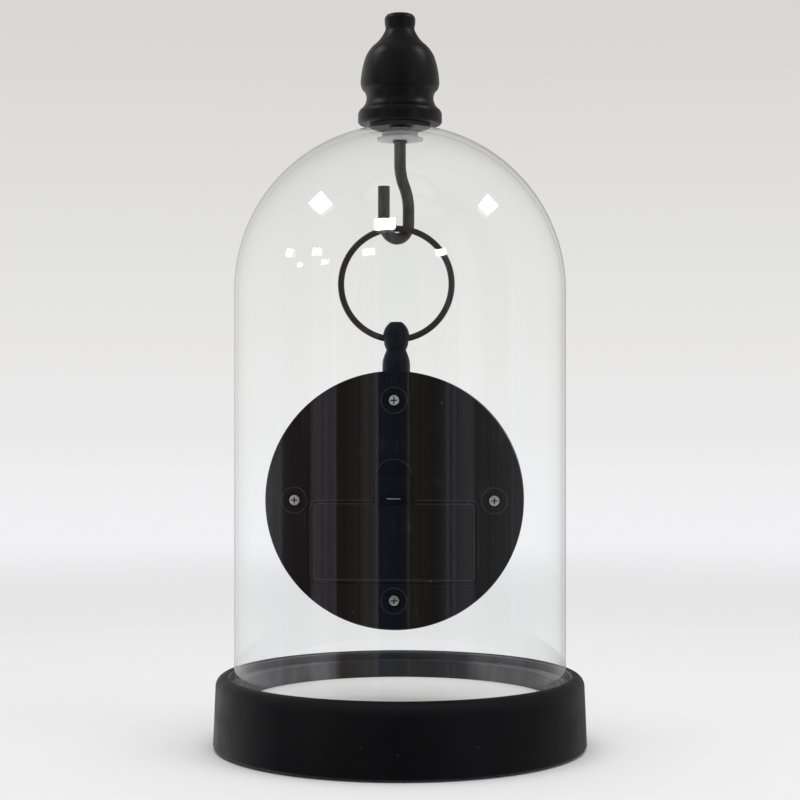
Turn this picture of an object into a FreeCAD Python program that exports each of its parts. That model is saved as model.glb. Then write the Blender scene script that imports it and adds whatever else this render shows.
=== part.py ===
import FreeCAD, Part
import math
import os

# Glass dome shelf clock. All lengths are in millimetres.
# +Z is up and the dial faces -Y. The origin is the middle of the underside.

# Shared clearances
overrun = 1.0
seat_gap = 0.1
hang_gap = 0.45
wheel_gap = 0.15
bearing_gap = 0.06

# Base, its felt pad and its floor disc
base_bottom_radius = 79.4
base_top_radius = 78.2
base_height = 29.9
base_top_round = 4.0
base_foot_round = 1.2
base_rim_round = 0.8
base_foot_height = 0.6
base_pad_depth = 1.2
base_pad_margin = 5.4
ledge_height = 26.5
ledge_under_glass = 4.0
floor_top_height = 19.2
floor_disc_thickness = 2.0

# Glass dome
glass_radius = 70.5
glass_wall = 2.6
glass_straight_height = 167.3
glass_side_play = 2.1
glass_hole_radius = 4.6
glass_lip_round = 0.8

# Stack on the crown of the dome
gasket_radius = 12.8
gasket_thickness = 0.4
grommet_wall = 1.8
grommet_flange_radius = 7.6
washer_radius = 9.8
washer_thickness = 1.0
washer_drop = 2.8

# Finial
finial_radius = 17.9
finial_height = 47.1
finial_insert_radius = 4.5
finial_insert_length = 14.0
finial_insert_inset = 1.0

# Hook
hook_rod_radius = 2.5
hook_rod_in_insert = 12.0
hook_bulge = 4.8
hook_saddle_radius = 6.93
hook_saddle_height = 222.8
hook_bulge_straight = 6.0
hook_bend_height = 19.2
hook_tip_length = 14.9
hook_turn_degrees = 45.0
hook_collar_radius = 3.1
hook_collar_thickness = 1.0

# Hanging ring
ring_radius = 23.6
ring_wire_radius = 1.35

# Pendant knob
ball_radius = 5.63
ball_rise = 1.3
ball_top_height = 6.15
ball_top_radius = 2.35
ball_hole_radius = 2.2
ball_hole_lift = 0.1
neck_radius = 4.15
neck_drop = 5.8
shoulder_radius = 5.7
shoulder_drop = 10.2
stem_radius = 5.9
stem_groove_depth = 0.3
stem_groove_width = 0.5
stem_thread_radius = 2.4
stem_thread_length = 3.4
pendant_nut_across_flats = 8.0
pendant_nut_thickness = 2.4

# Clock case
case_radius = 54.3
case_depth = 28.0
case_wall = 2.3
case_edge_round = 0.7
case_to_pivot = 13.6
bezel_depth = 4.4
bezel_width = 7.3
bezel_lip_thickness = 0.9
bezel_round = 1.6
bezel_seam = 0.1
crystal_thickness = 1.8
crystal_lap = 1.5
dial_edge_room = 1.0
dial_thickness = 0.6
dial_depth_from_front = 8.8
dial_spacer_wall = 0.5
dial_shelf_lap = 2.0
dial_shelf_thickness = 2.0

# Rear cover, its screws and the battery door
cover_thickness = 2.0
cover_skirt_thickness = 1.2
cover_skirt_length = 4.0
screw_edge_room = 10.0
screw_head_radius = 2.2
screw_head_height = 1.3
screw_sink = 0.5
screw_shank_radius = 1.2
screw_length = 8.0
screw_slot_width = 0.6
screw_slot_length = 2.8
screw_slot_depth = 0.7
screw_recess_radius = 3.4
screw_ring_radius = 5.65
screw_ring_width = 0.8
screw_ring_height = 0.25
screw_post_radius = 4.0
screw_post_web = 3.0
cover_boss_height = 1.6
door_half_width = 34.3
door_height = 33.8
door_top_drop = 0.8
door_corner_radius = 2.2
door_gap = 0.3
door_chamfer = 0.45
door_rail_width = 1.6
door_rail_thickness = 1.2
tongue_width = 8.0
tongue_length = 2.4
tongue_thickness = 1.1
tongue_inset = 0.2
tongue_spacing = 40.0
latch_half_width = 8.2
latch_slot_bottom = 1.8
latch_slot_height = 4.3
latch_tab_top = 10.6
latch_tab_thickness = 1.4
latch_tab_inset = 1.2
latch_leg_thickness = 1.0
latch_spring_depth = 4.4
latch_window_width = 5.8
latch_window_height = 2.9
latch_window_rise = 0.6
latch_pocket_depth = 4.3
latch_pocket_wall = 1.1
scoop_radius = 7.7
scoop_rise = 9.5
scoop_depth = 2.1

# Movement housing
housing_half_width = 30.0
housing_top = 24.0
housing_bottom = 33.0
housing_wall = 1.2
housing_corner_radius = 3.0
housing_cover_depth = 11.5
movement_cover_thickness = 1.2
bush_radius = 4.0
bush_rise = 2.2
movement_nut_across_flats = 10.0
movement_nut_thickness = 1.6

# Cell and contacts
cell_radius = 7.1
cell_length = 49.2
cell_nub_radius = 2.75
cell_nub_length = 1.3
cell_drop = 24.7
cell_shift = 0.2
contact_thickness = 0.4
contact_width = 7.0
contact_leaf_height = 3.0

# Wheel train: the distances between arbors and the layers, counted back from the housing's floor
tooth_depth = 0.7
arbor_radius = 0.4
post_radius = 0.8
wheel_thickness = 0.8
pinion_thickness = 1.1
layer_pitch = 1.45
wheel_floor_gap = 0.3
motion_arbor_distance = 8.8
motion_arbor_degrees = 30.0
third_arbor_distance = 9.0
third_arbor_degrees = 150.0
fifth_arbor_distance = 8.4
fifth_arbor_degrees = 90.0
rotor_arbor_distance = 7.8
rotor_arbor_degrees = 60.0
knob_arbor_distance = 10.0
knob_arbor_radius = 1.2
knob_radius = 5.2
knob_thickness = 2.6
knob_door_gap = 0.6
knob_flutes = 18
knob_flute_radius = 0.5
cannon_teeth, knob_teeth = 30, 12
cannon_pinion_teeth, motion_wheel_teeth = 10, 30
motion_pinion_teeth, hour_wheel_teeth = 10, 40
second_pinion_teeth, third_wheel_teeth = 8, 60
third_pinion_teeth, centre_wheel_teeth = 8, 64
fifth_pinion_teeth, second_wheel_teeth = 10, 60
rotor_pinion_teeth, fifth_wheel_teeth = 12, 60
rotor_magnet_radius = 2.8
rotor_magnet_height = 1.8
stator_thickness = 0.8
stator_air_gap = 0.5
stator_ring_width = 2.6
stator_core_width = 3.4
coil_length = 14.0
coil_radius = 3.0
coil_end_gap = 3.0
coil_flange_thickness = 0.8
coil_winding_inset = 0.6
board_width = 17.0
board_height = 32.0
board_thickness = 1.2
board_margin = 0.8
board_back_gap = 0.8
board_chip_radius = 3.5
board_chip_height = 0.6
quartz_radius = 1.0
quartz_length = 6.0
post_rise_radius = 1.4

# Hands: each one lies in front of the last
hour_pipe_radius = 2.3
minute_pipe_radius = 1.5
hand_thickness = 0.4
hand_step = 0.8
hour_hand_gap = 0.4
hour_hand_share = 0.675
minute_hand_margin = 7.0
second_hand_margin = 4.0
second_tail_length = 12.0
hour_hand_width = 4.2
minute_hand_width = 3.2
second_hand_width = 0.9
second_disc_radius = 2.2
hand_hub_extra = 1.4
hour_hand_degrees = 54.0
minute_hand_degrees = -60.0
second_hand_degrees = 150.0

# Places that follow from the sizes above
glass_inner_radius = glass_radius - glass_wall
rim_inner_radius = glass_radius + glass_side_play
well_radius = glass_radius - ledge_under_glass
base_top = base_foot_height + base_height
dome_centre_height = ledge_height + glass_straight_height
crown_height = dome_centre_height + glass_radius
finial_foot_height = crown_height + gasket_thickness
grommet_outer_radius = glass_hole_radius - seat_gap
rod_hole_radius = hook_rod_radius + seat_gap
washer_top_height = crown_height - glass_wall - washer_drop
washer_bottom_height = washer_top_height - washer_thickness
saddle_offset = hook_saddle_radius - hook_bulge
hook_turn = math.radians(hook_turn_degrees)
hang_x = saddle_offset * math.cos(hook_turn)
hang_y = saddle_offset * math.sin(hook_turn)
hang_height = hook_saddle_height - hook_saddle_radius + hook_rod_radius + ring_wire_radius + hang_gap
ring_height = hang_height - ring_radius
knob_pivot_height = ring_height - ring_radius
ball_height = knob_pivot_height + ball_rise
case_height = knob_pivot_height - case_to_pivot - case_radius
front_face = -case_depth / 2
back_face = case_depth / 2
cover_inner_face = back_face - cover_thickness
bezel_back_face = front_face + bezel_depth
case_inner_radius = case_radius - case_wall
screw_pitch_radius = case_inner_radius - screw_edge_room
bezel_lip_radius = case_radius - bezel_width
crystal_front = front_face + bezel_lip_thickness + seat_gap
crystal_back = crystal_front + crystal_thickness
crystal_radius = bezel_lip_radius + crystal_lap
dial_radius = case_inner_radius - dial_edge_room
dial_back = front_face + dial_depth_from_front
dial_front = dial_back - dial_thickness
dial_spacer_inner_radius = crystal_radius - dial_spacer_wall
dial_shelf_inner_radius = dial_radius - dial_shelf_lap
minute_hand_length = bezel_lip_radius - minute_hand_margin
second_hand_length = bezel_lip_radius - second_hand_margin
hour_hand_length = minute_hand_length * hour_hand_share
housing_front = dial_back
train_floor = housing_front + housing_wall
movement_cover_inner = housing_front + housing_cover_depth
movement_cover_outer = movement_cover_inner + movement_cover_thickness
cell_depth = housing_front + housing_wall + seat_gap + cell_radius
door_hinge_depth = back_face - cover_thickness / 2
door_hinge_drop = door_top_drop + door_height - cover_thickness / 2
door_bottom_drop = door_top_drop + door_height
motion_arbor = (motion_arbor_distance * math.cos(math.radians(motion_arbor_degrees)),
                motion_arbor_distance * math.sin(math.radians(motion_arbor_degrees)))
third_arbor = (third_arbor_distance * math.cos(math.radians(third_arbor_degrees)),
               third_arbor_distance * math.sin(math.radians(third_arbor_degrees)))
fifth_arbor = (fifth_arbor_distance * math.cos(math.radians(fifth_arbor_degrees)),
               fifth_arbor_distance * math.sin(math.radians(fifth_arbor_degrees)))
rotor_arbor = (fifth_arbor[0] + rotor_arbor_distance * math.cos(math.radians(rotor_arbor_degrees)),
               fifth_arbor[1] + rotor_arbor_distance * math.sin(math.radians(rotor_arbor_degrees)))
knob_arbor = (0, -knob_arbor_distance)
centre_arbor = (0, 0)
up = FreeCAD.Vector(0, 0, 1)
back = FreeCAD.Vector(0, 1, 0)
right = FreeCAD.Vector(1, 0, 0)
full_turn = 360


def point(x, y, z):
    return FreeCAD.Vector(x, y, z)


def turned(steps):
    """Solid turned about Z. A step is (radius, height), or (radius, height, middle radius, middle height)."""
    edges = []
    here = point(steps[0][0], 0, steps[0][1])
    for step in list(steps[1:]) + [steps[0]]:
        there = point(step[0], 0, step[1])
        if len(step) == 4:
            edges.append(Part.Arc(here, point(step[2], 0, step[3]), there).toShape())
        elif here.distanceToPoint(there) > 0:
            edges.append(Part.LineSegment(here, there).toShape())
        here = there
    face = Part.Face(Part.Wire(edges))
    return face.revolve(point(0, 0, 0), up, full_turn)


def turned_about_y(steps):
    """Solid turned about Y. A step is (radius, depth), as in turned."""
    shape = turned(steps)
    shape.rotate(point(0, 0, 0), right, -90)
    return shape


def rod_y(radius, start, end, place=(0, 0)):
    """Cylinder along Y at place (x, z), from depth start to depth end."""
    return Part.makeCylinder(radius, end - start, point(place[0], start, place[1]), back)


def pipe_y(outer, inner, start, end, place=(0, 0)):
    hole = rod_y(inner, start - overrun, end + overrun, place)
    return rod_y(outer, start, end, place).cut(hole)


def block(x0, x1, y0, y1, z0, z1):
    return Part.makeBox(x1 - x0, y1 - y0, z1 - z0, point(x0, y0, z0))


def rounded_block(x0, x1, y0, y1, z0, z1, radius):
    """Block whose four edges along Y are rounded."""
    body = block(x0, x1, y0, y1, z0, z1)
    along = [e for e in body.Edges if abs(e.tangentAt(e.FirstParameter).y) > 0.5]
    return body.makeFillet(radius, along)


def hexagon(across_flats, start, end, axis, place):
    """Six-sided prism along axis, from start to end, through place."""
    radius = across_flats / math.sqrt(3)
    side = right
    other = axis.cross(side)
    corners = []
    for corner in range(7):
        angle = math.radians(60 * corner)
        offset = side * (radius * math.cos(angle)) + other * (radius * math.sin(angle))
        corners.append(place + axis * start + offset)
    face = Part.Face(Part.makePolygon(corners))
    return face.extrude(axis * (end - start))


def cut_all(body, tools):
    for tool in tools:
        body = body.cut(tool)
    return body


def fuse_all(shapes):
    body = shapes[0]
    for shape in shapes[1:]:
        body = body.fuse(shape)
    return body.removeSplitter()


def base():
    foot_inset = base_bottom_radius - base_foot_round
    slope = (base_bottom_radius - base_top_radius) / base_height
    shoulder = base_top - base_top_round
    shoulder_radius_here = base_top_radius + slope * base_top_round
    round_mid = base_top_round * (1 - math.cos(math.radians(45)))
    foot_mid = base_foot_round * (1 - math.cos(math.radians(45)))
    pad_radius = base_bottom_radius - base_pad_margin
    pad_top = base_foot_height + base_pad_depth
    well_floor = floor_top_height - floor_disc_thickness
    return turned([
        (0, pad_top),
        (pad_radius, pad_top),
        (pad_radius, base_foot_height),
        (foot_inset, base_foot_height),
        (base_bottom_radius, base_foot_height + base_foot_round,
         base_bottom_radius - foot_mid, base_foot_height + foot_mid),
        (shoulder_radius_here, shoulder),
        (base_top_radius - base_top_round, base_top,
         base_top_radius - round_mid, base_top - round_mid),
        (rim_inner_radius + base_rim_round, base_top),
        (rim_inner_radius, base_top - base_rim_round),
        (rim_inner_radius, ledge_height),
        (well_radius, ledge_height),
        (well_radius, well_floor),
        (0, well_floor)])


def base_pad():
    radius = base_bottom_radius - base_pad_margin - seat_gap
    return Part.makeCylinder(radius, base_foot_height + base_pad_depth)


def floor_disc():
    bottom = floor_top_height - floor_disc_thickness
    return Part.makeCylinder(well_radius - seat_gap, floor_disc_thickness, point(0, 0, bottom))


def sphere_height(radius, r):
    """Height on a sphere round the dome's centre, at the distance r from the axis."""
    return dome_centre_height + math.sqrt(radius * radius - r * r)


def dome_arc(radius, r_start, r_end):
    """Step that runs along the sphere from the distance r_start to the distance r_end."""
    angle = (math.asin(r_start / radius) + math.asin(r_end / radius)) / 2
    return (r_end, sphere_height(radius, r_end),
            radius * math.sin(angle), dome_centre_height + radius * math.cos(angle))


def glass_dome():
    lip = glass_lip_round
    return turned([
        (glass_inner_radius + lip, ledge_height),
        (glass_radius - lip, ledge_height),
        (glass_radius, ledge_height + lip),
        (glass_radius, dome_centre_height),
        dome_arc(glass_radius, glass_radius, glass_hole_radius),
        (glass_hole_radius, sphere_height(glass_inner_radius, glass_hole_radius)),
        dome_arc(glass_inner_radius, glass_hole_radius, glass_inner_radius),
        (glass_inner_radius, ledge_height + lip)])


def dome_gasket():
    seat = glass_radius + bearing_gap
    return turned([
        (rod_hole_radius, sphere_height(seat, rod_hole_radius)),
        dome_arc(seat, rod_hole_radius, gasket_radius),
        (gasket_radius, finial_foot_height),
        (rod_hole_radius, finial_foot_height)])


def dome_grommet():
    inner = grommet_outer_radius - grommet_wall
    seat = glass_inner_radius - bearing_gap
    return turned([
        (inner, washer_top_height),
        (grommet_flange_radius, washer_top_height),
        (grommet_flange_radius, sphere_height(seat, grommet_flange_radius)),
        dome_arc(seat, grommet_flange_radius, grommet_outer_radius),
        (grommet_outer_radius, crown_height - glass_wall / 2),
        (inner, crown_height - glass_wall / 2)])


def clear_washer():
    ring = Part.makeCylinder(washer_radius, washer_thickness, point(0, 0, washer_bottom_height))
    hole = Part.makeCylinder(rod_hole_radius, washer_thickness + overrun + overrun,
                             point(0, 0, washer_bottom_height - overrun))
    return ring.cut(hole)


# Finial outline, from its foot up: shares of the radius and of the height.
# A row of four is an arc through the middle point that its last two shares give.
finial_shares = [
    (0.960, 0.000),
    (1.000, 0.017),
    (1.000, 0.080),
    (0.945, 0.132, 0.985, 0.110),
    (0.800, 0.236, 0.836, 0.180),
    (0.898, 0.318, 0.822, 0.280),
    (0.937, 0.397, 0.932, 0.352),
    (0.820, 0.612, 0.898, 0.508),
    (0.600, 0.724, 0.726, 0.674),
    (0.378, 0.833, 0.456, 0.783),
    (0.347, 0.884, 0.350, 0.858),
    (0.366, 0.941, 0.364, 0.912),
    (0.250, 1.000, 0.340, 0.980)]


def finial():
    def row(shares):
        step = [shares[0] * finial_radius, finial_foot_height + shares[1] * finial_height]
        if len(shares) == 4:
            step += [shares[2] * finial_radius, finial_foot_height + shares[3] * finial_height]
        return tuple(step)
    body = turned([(0, finial_foot_height)] + [row(shares) for shares in finial_shares]
                  + [(0, finial_foot_height + finial_height)])
    bore_length = finial_insert_inset + finial_insert_length + seat_gap
    bore = Part.makeCylinder(finial_insert_radius + bearing_gap, bore_length + overrun,
                             point(0, 0, finial_foot_height - overrun))
    return body.cut(bore)


def finial_insert():
    bottom = finial_foot_height + finial_insert_inset
    tube = Part.makeCylinder(finial_insert_radius, finial_insert_length, point(0, 0, bottom))
    hole = Part.makeCylinder(rod_hole_radius, hook_rod_in_insert + overrun,
                             point(0, 0, bottom - overrun))
    return tube.cut(hole)


def hook():
    """Rod bent in one plane: t runs from the shank towards the tip."""
    direction = point(math.cos(hook_turn), math.sin(hook_turn), 0)

    def at(t, z):
        return direction * t + up * z

    top = finial_foot_height + finial_insert_inset + hook_rod_in_insert - seat_gap
    bulge_bottom = hook_saddle_height
    bulge_top = bulge_bottom + hook_bulge_straight
    bend_top = bulge_top + hook_bend_height
    half_turn = 2 * math.atan(hook_bulge / hook_bend_height)
    bend_radius = hook_bend_height / (2 * math.sin(half_turn))
    sag = bend_radius * (1 - math.cos(half_turn / 2))
    drop = bend_radius * math.sin(half_turn / 2)
    middle = at(-hook_bulge / 2, (bulge_top + bend_top) / 2)
    tip = saddle_offset + hook_saddle_radius
    path = Part.Wire([
        Part.LineSegment(at(0, top), at(0, bend_top)).toShape(),
        Part.Arc(at(0, bend_top), at(-sag, bend_top - drop), middle).toShape(),
        Part.Arc(middle, at(sag - hook_bulge, bulge_top + drop), at(-hook_bulge, bulge_top)).toShape(),
        Part.LineSegment(at(-hook_bulge, bulge_top), at(-hook_bulge, bulge_bottom)).toShape(),
        Part.Arc(at(-hook_bulge, bulge_bottom), at(saddle_offset, bulge_bottom - hook_saddle_radius),
                 at(tip, bulge_bottom)).toShape(),
        Part.LineSegment(at(tip, bulge_bottom), at(tip, bulge_bottom + hook_tip_length)).toShape()])
    section = Part.Wire([Part.Circle(at(0, top), up, hook_rod_radius).toShape()])
    rod = path.makePipeShell([section], True, False)
    collar = Part.makeCylinder(hook_collar_radius, hook_collar_thickness,
                               point(0, 0, washer_bottom_height - hook_collar_thickness))
    return rod.fuse(collar)


def hanging_ring():
    return Part.makeTorus(ring_radius, ring_wire_radius, point(hang_x, hang_y, ring_height), back)


# Middle points of the ball's upper and lower arcs and of the flare below the neck
ball_crown_shares = (0.82, 0.60)
ball_foot_shares = (0.93, 0.50)
shoulder_mid_share = 0.57


def pendant_knob():
    """Ball, neck and stem, turned about the clock's upright axis."""
    stem_bottom = case_height + case_radius - case_wall
    neck = ball_height - neck_drop
    shoulder = ball_height - shoulder_drop
    groove_top = shoulder - stem_groove_width
    groove_bottom = groove_top - stem_groove_width
    groove_radius = stem_radius - stem_groove_depth
    body = turned([
        (0, ball_height + ball_top_height),
        (ball_top_radius, ball_height + ball_top_height),
        (ball_radius, ball_height,
         ball_radius * ball_crown_shares[0], ball_height + ball_top_height * ball_crown_shares[1]),
        (neck_radius, neck,
         ball_radius * ball_foot_shares[0], ball_height - neck_drop * ball_foot_shares[1]),
        (shoulder_radius, shoulder,
         (neck_radius + shoulder_radius) / 2, shoulder + (neck - shoulder) * shoulder_mid_share),
        (stem_radius, shoulder - stem_groove_depth),
        (stem_radius, groove_top),
        (groove_radius, groove_top),
        (groove_radius, groove_bottom),
        (stem_radius, groove_bottom),
        (stem_radius, stem_bottom),
        (stem_thread_radius, stem_bottom),
        (stem_thread_radius, stem_bottom - stem_thread_length),
        (0, stem_bottom - stem_thread_length)])
    hole_height = knob_pivot_height - ball_height + ball_hole_lift
    hole = Part.makeCylinder(ball_hole_radius, 2 * (ball_radius + overrun),
                             point(-ball_radius - overrun, 0, ball_height + hole_height), right)
    band_space = rod_y(case_radius + bearing_gap, front_face - overrun, back_face + overrun,
                       (0, case_height))
    thread = Part.makeCylinder(stem_thread_radius, case_radius, point(0, 0, stem_bottom - stem_thread_length))
    body = body.cut(band_space.cut(thread)).cut(hole)
    return moved_to_clock_axis(body)


def moved_to_clock_axis(shape):
    shape.translate(point(hang_x, hang_y, 0))
    return shape


def in_clock(shape):
    """Moves a piece from the case's own frame, centred in the case, to its place under the ring."""
    shape.translate(point(hang_x, hang_y, case_height))
    return shape


def pendant_nut():
    top = case_inner_radius - seat_gap
    nut = hexagon(pendant_nut_across_flats, top - pendant_nut_thickness, top, up, point(0, 0, 0))
    bore = Part.makeCylinder(stem_thread_radius + bearing_gap, case_radius)
    round_seat = rod_y(case_inner_radius - bearing_gap, front_face, back_face)
    return in_clock(nut.cut(bore).common(round_seat))


def post_places():
    return [(screw_pitch_radius * math.cos(math.radians(90 * turn)),
             screw_pitch_radius * math.sin(math.radians(90 * turn))) for turn in range(4)]


def case_band():
    """Side wall with the dial's shelf and the four posts that the rear screws bite into."""
    start = bezel_back_face + bezel_seam
    end = cover_inner_face - seat_gap
    wall = pipe_y(case_radius, case_inner_radius, start, end)
    shelf = pipe_y(case_inner_radius + case_wall / 2, dial_shelf_inner_radius,
                   dial_back, dial_back + dial_shelf_thickness)
    post_end = cover_inner_face - cover_boss_height - seat_gap
    pieces = [wall, shelf]
    for turn, place in enumerate(post_places()):
        post = rod_y(screw_post_radius, dial_back, post_end, place)
        web = block(screw_pitch_radius, case_inner_radius + case_wall / 2,
                    dial_back, post_end - cover_skirt_length, -screw_post_web / 2, screw_post_web / 2)
        web.rotate(point(0, 0, 0), back, -90 * turn)
        pieces += [post, web]
    body = fuse_all(pieces)
    bore_start = back_face - screw_sink - screw_head_height - screw_length
    tools = [rod_y(screw_shank_radius + bearing_gap, bore_start, back_face, place)
             for place in post_places()]
    tools.append(Part.makeCylinder(stem_thread_radius + bearing_gap, case_radius + overrun))
    tools.append(nut_flat())
    return in_clock(cut_all(body, tools))


def nut_flat():
    """Room round the pendant nut, between the top post and the wall."""
    reach = pendant_nut_across_flats / 2 + hang_gap + seat_gap
    low = case_inner_radius - pendant_nut_thickness - hang_gap
    return block(-reach, reach, -reach, reach, low, case_inner_radius - seat_gap / 2).common(
        rod_y(case_inner_radius, -reach, reach))


def front_bezel():
    body = turned_about_y([
        (bezel_lip_radius, front_face + bezel_lip_thickness),
        (bezel_lip_radius, front_face + bezel_lip_thickness / 2),
        (bezel_lip_radius + bezel_lip_thickness, front_face),
        (case_radius - bezel_round, front_face),
        (case_radius, front_face + bezel_round,
         case_radius - bezel_round * (1 - math.cos(math.radians(45))),
         front_face + bezel_round * (1 - math.cos(math.radians(45)))),
        (case_radius, bezel_back_face),
        (case_inner_radius - seat_gap, bezel_back_face),
        (crystal_radius + seat_gap, bezel_back_face),
        (crystal_radius + seat_gap, front_face + bezel_lip_thickness)])
    return in_clock(body)


def crystal():
    return in_clock(rod_y(crystal_radius, crystal_front, crystal_back))


def dial_spacer():
    """Plain ring that holds the crystal against the bezel and the dial against its shelf."""
    outer = crystal_radius
    flange = pipe_y(case_inner_radius - seat_gap, dial_spacer_inner_radius,
                    bezel_back_face + bezel_seam, dial_front)
    tube = pipe_y(outer, dial_spacer_inner_radius, crystal_back, dial_front)
    return in_clock(fuse_all([flange, tube]))


def dial():
    return in_clock(pipe_y(dial_radius, bush_radius + seat_gap, dial_front, dial_back))


def rounded_opening(half_width, low, high, radius, start, end):
    return rounded_block(-half_width, half_width, start, end, low, high, radius)


def rear_cover():
    plate = turned_about_y([
        (0, cover_inner_face),
        (case_radius, cover_inner_face),
        (case_radius, back_face - case_edge_round),
        (case_radius - case_edge_round, back_face,
         case_radius - case_edge_round * (1 - math.cos(math.radians(45))),
         back_face - case_edge_round * (1 - math.cos(math.radians(45)))),
        (0, back_face)])
    skirt_outer = case_inner_radius - seat_gap
    skirt = pipe_y(skirt_outer, skirt_outer - cover_skirt_thickness,
                   cover_inner_face - cover_skirt_length, cover_inner_face)
    pieces = [plate, skirt]
    for place in post_places():
        pieces.append(rod_y(screw_recess_radius + case_wall / 2, cover_inner_face - cover_boss_height,
                            cover_inner_face, place))
        pieces.append(pipe_y(screw_ring_radius, screw_ring_radius - screw_ring_width, cover_inner_face,
                             back_face + screw_ring_height, place))
    pocket_floor = back_face - latch_pocket_depth
    pocket_edge = latch_half_width + door_gap
    pocket_bottom = -door_top_drop + door_gap
    pieces.append(block(-pocket_edge - latch_pocket_wall, pocket_edge + latch_pocket_wall,
                        pocket_floor - latch_pocket_wall, cover_inner_face,
                        pocket_bottom, scoop_rise + scoop_radius + latch_pocket_wall))
    for side in (-1, 1):
        near = side * (door_half_width + door_gap - door_rail_width)
        far = side * (door_half_width + door_gap + door_rail_width)
        pieces.append(block(min(near, far), max(near, far), cover_inner_face - door_rail_thickness,
                            cover_inner_face, -door_bottom_drop - door_gap, pocket_bottom))
    body = fuse_all(pieces)
    seat = cover_inner_face - seat_gap
    side = door_half_width + door_gap
    low = -door_bottom_drop - door_gap
    corner = door_corner_radius + door_gap
    tools = [rounded_opening(side, low, pocket_bottom, corner, seat, back_face + overrun),
             block(-side, side, seat, back_face + overrun, low, low + corner)]
    through = door_half_width + door_gap - door_rail_width
    tools.append(block(-through, through, cover_inner_face - latch_pocket_depth, back_face,
                       low, pocket_bottom))
    tools.append(block(-pocket_edge, pocket_edge, pocket_floor, back_face + overrun,
                       pocket_bottom - overrun, latch_tab_top + door_gap))
    tools.append(rod_y(scoop_radius, back_face - scoop_depth, back_face + overrun, (0, scoop_rise)))
    for place in post_places():
        tools.append(rod_y(screw_recess_radius, back_face - screw_sink - screw_head_height,
                           back_face + overrun, place))
        tools.append(rod_y(screw_shank_radius + seat_gap, cover_inner_face - cover_boss_height - overrun,
                           back_face, place))
    tools.append(skirt_notch())
    return in_clock(cut_all(body, tools))


def skirt_notch():
    """Gap in the cover's skirt where the pendant nut and the case's upper web stand."""
    reach = pendant_nut_across_flats / 2 + hang_gap + seat_gap
    return block(-reach, reach, cover_inner_face - cover_skirt_length - overrun, cover_inner_face,
                 screw_pitch_radius + screw_recess_radius + case_wall, case_radius)


def rear_screws():
    """Four identical cross-head screws."""
    head_top = back_face - screw_sink
    head_bottom = head_top - screw_head_height
    screws = []
    for place in post_places():
        head = rod_y(screw_head_radius, head_bottom, head_top, place)
        rim = [e for e in head.Edges if abs(e.CenterOfMass.y - head_top) < bearing_gap]
        head = head.makeFillet(screw_head_height / 3, rim)
        shank_end = head_bottom + seat_gap
        screw = head.fuse(rod_y(screw_shank_radius, shank_end - screw_length, shank_end, place))
        for turn in (0, 90):
            slot = block(-screw_slot_length / 2, screw_slot_length / 2, head_top - screw_slot_depth,
                         head_top + overrun, -screw_slot_width / 2, screw_slot_width / 2)
            slot.rotate(point(0, 0, 0), back, turn)
            slot.translate(point(place[0], 0, place[1]))
            screw = screw.cut(slot)
        screws.append(screw)
    return in_clock(Part.makeCompound(screws))


def door_section(low, high):
    """Long bar with the door's thickness and a half-round lower edge, centred on the door's turning line."""
    left = -door_half_width - overrun
    corners = [point(left, cover_inner_face, low), point(left, cover_inner_face, high + overrun),
               point(left, back_face, high + overrun), point(left, back_face, low)]
    lower = Part.Arc(corners[3], point(left, door_hinge_depth, -door_bottom_drop), corners[0]).toShape()
    face = Part.Face(Part.Wire(list(Part.makePolygon(corners).Edges) + [lower]))
    return face.extrude(right * (2 * (door_half_width + overrun)))


def battery_door():
    """Door panel, rounded below where it turns, with its tongues and its springy latch tab."""
    low = -door_hinge_drop
    high = -door_top_drop
    panel = rounded_opening(door_half_width, -door_bottom_drop, high, door_corner_radius,
                            cover_inner_face, back_face)
    rim = [e for e in panel.Edges if e.CenterOfMass.y > back_face - bearing_gap]
    panel = panel.makeChamfer(door_chamfer, rim).common(door_section(low, high))
    slot_low = -latch_slot_bottom
    slot_high = slot_low + latch_slot_height
    panel = panel.cut(block(-latch_half_width, latch_half_width, cover_inner_face - overrun,
                            back_face + overrun, slot_low, overrun))
    leg_back = back_face - latch_spring_depth + door_gap
    tab_back = back_face - latch_tab_inset
    lower_leg = block(-latch_half_width, latch_half_width, leg_back, back_face - cover_thickness / 2,
                      slot_low - latch_leg_thickness, slot_low)
    bridge = block(-latch_half_width, latch_half_width, leg_back, leg_back + latch_leg_thickness,
                   slot_low - latch_leg_thickness, slot_high + latch_leg_thickness)
    upper_leg = block(-latch_half_width, latch_half_width, leg_back, tab_back,
                      slot_high, slot_high + latch_leg_thickness)
    tab = block(-latch_half_width, latch_half_width, tab_back - latch_tab_thickness, tab_back,
                slot_high, latch_tab_top)
    window_low = slot_high + latch_window_rise
    window = block(-latch_window_width / 2, latch_window_width / 2, tab_back - latch_tab_thickness / 2,
                   back_face, window_low, window_low + latch_window_height)
    latch = fuse_all([lower_leg, bridge, upper_leg, tab]).cut(window)
    pieces = [panel, latch]
    tongue_front = cover_inner_face - tongue_inset - tongue_thickness
    for side in (-1, 1):
        middle = side * tongue_spacing / 2
        pieces.append(block(middle - tongue_width / 2, middle + tongue_width / 2, tongue_front,
                            cover_inner_face - tongue_inset, -door_bottom_drop - tongue_length,
                            low + tongue_length))
        pieces.append(block(middle - tongue_width / 2, middle + tongue_width / 2, tongue_front,
                            cover_inner_face + tongue_inset, low + tongue_length / 2, low + tongue_length))
    return in_clock(fuse_all(pieces))


def bay_ceiling():
    return -cell_drop + cell_radius + seat_gap


def cell_bay_half_length():
    return (cell_length + cell_nub_length) / 2 + contact_leaf_height


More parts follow.
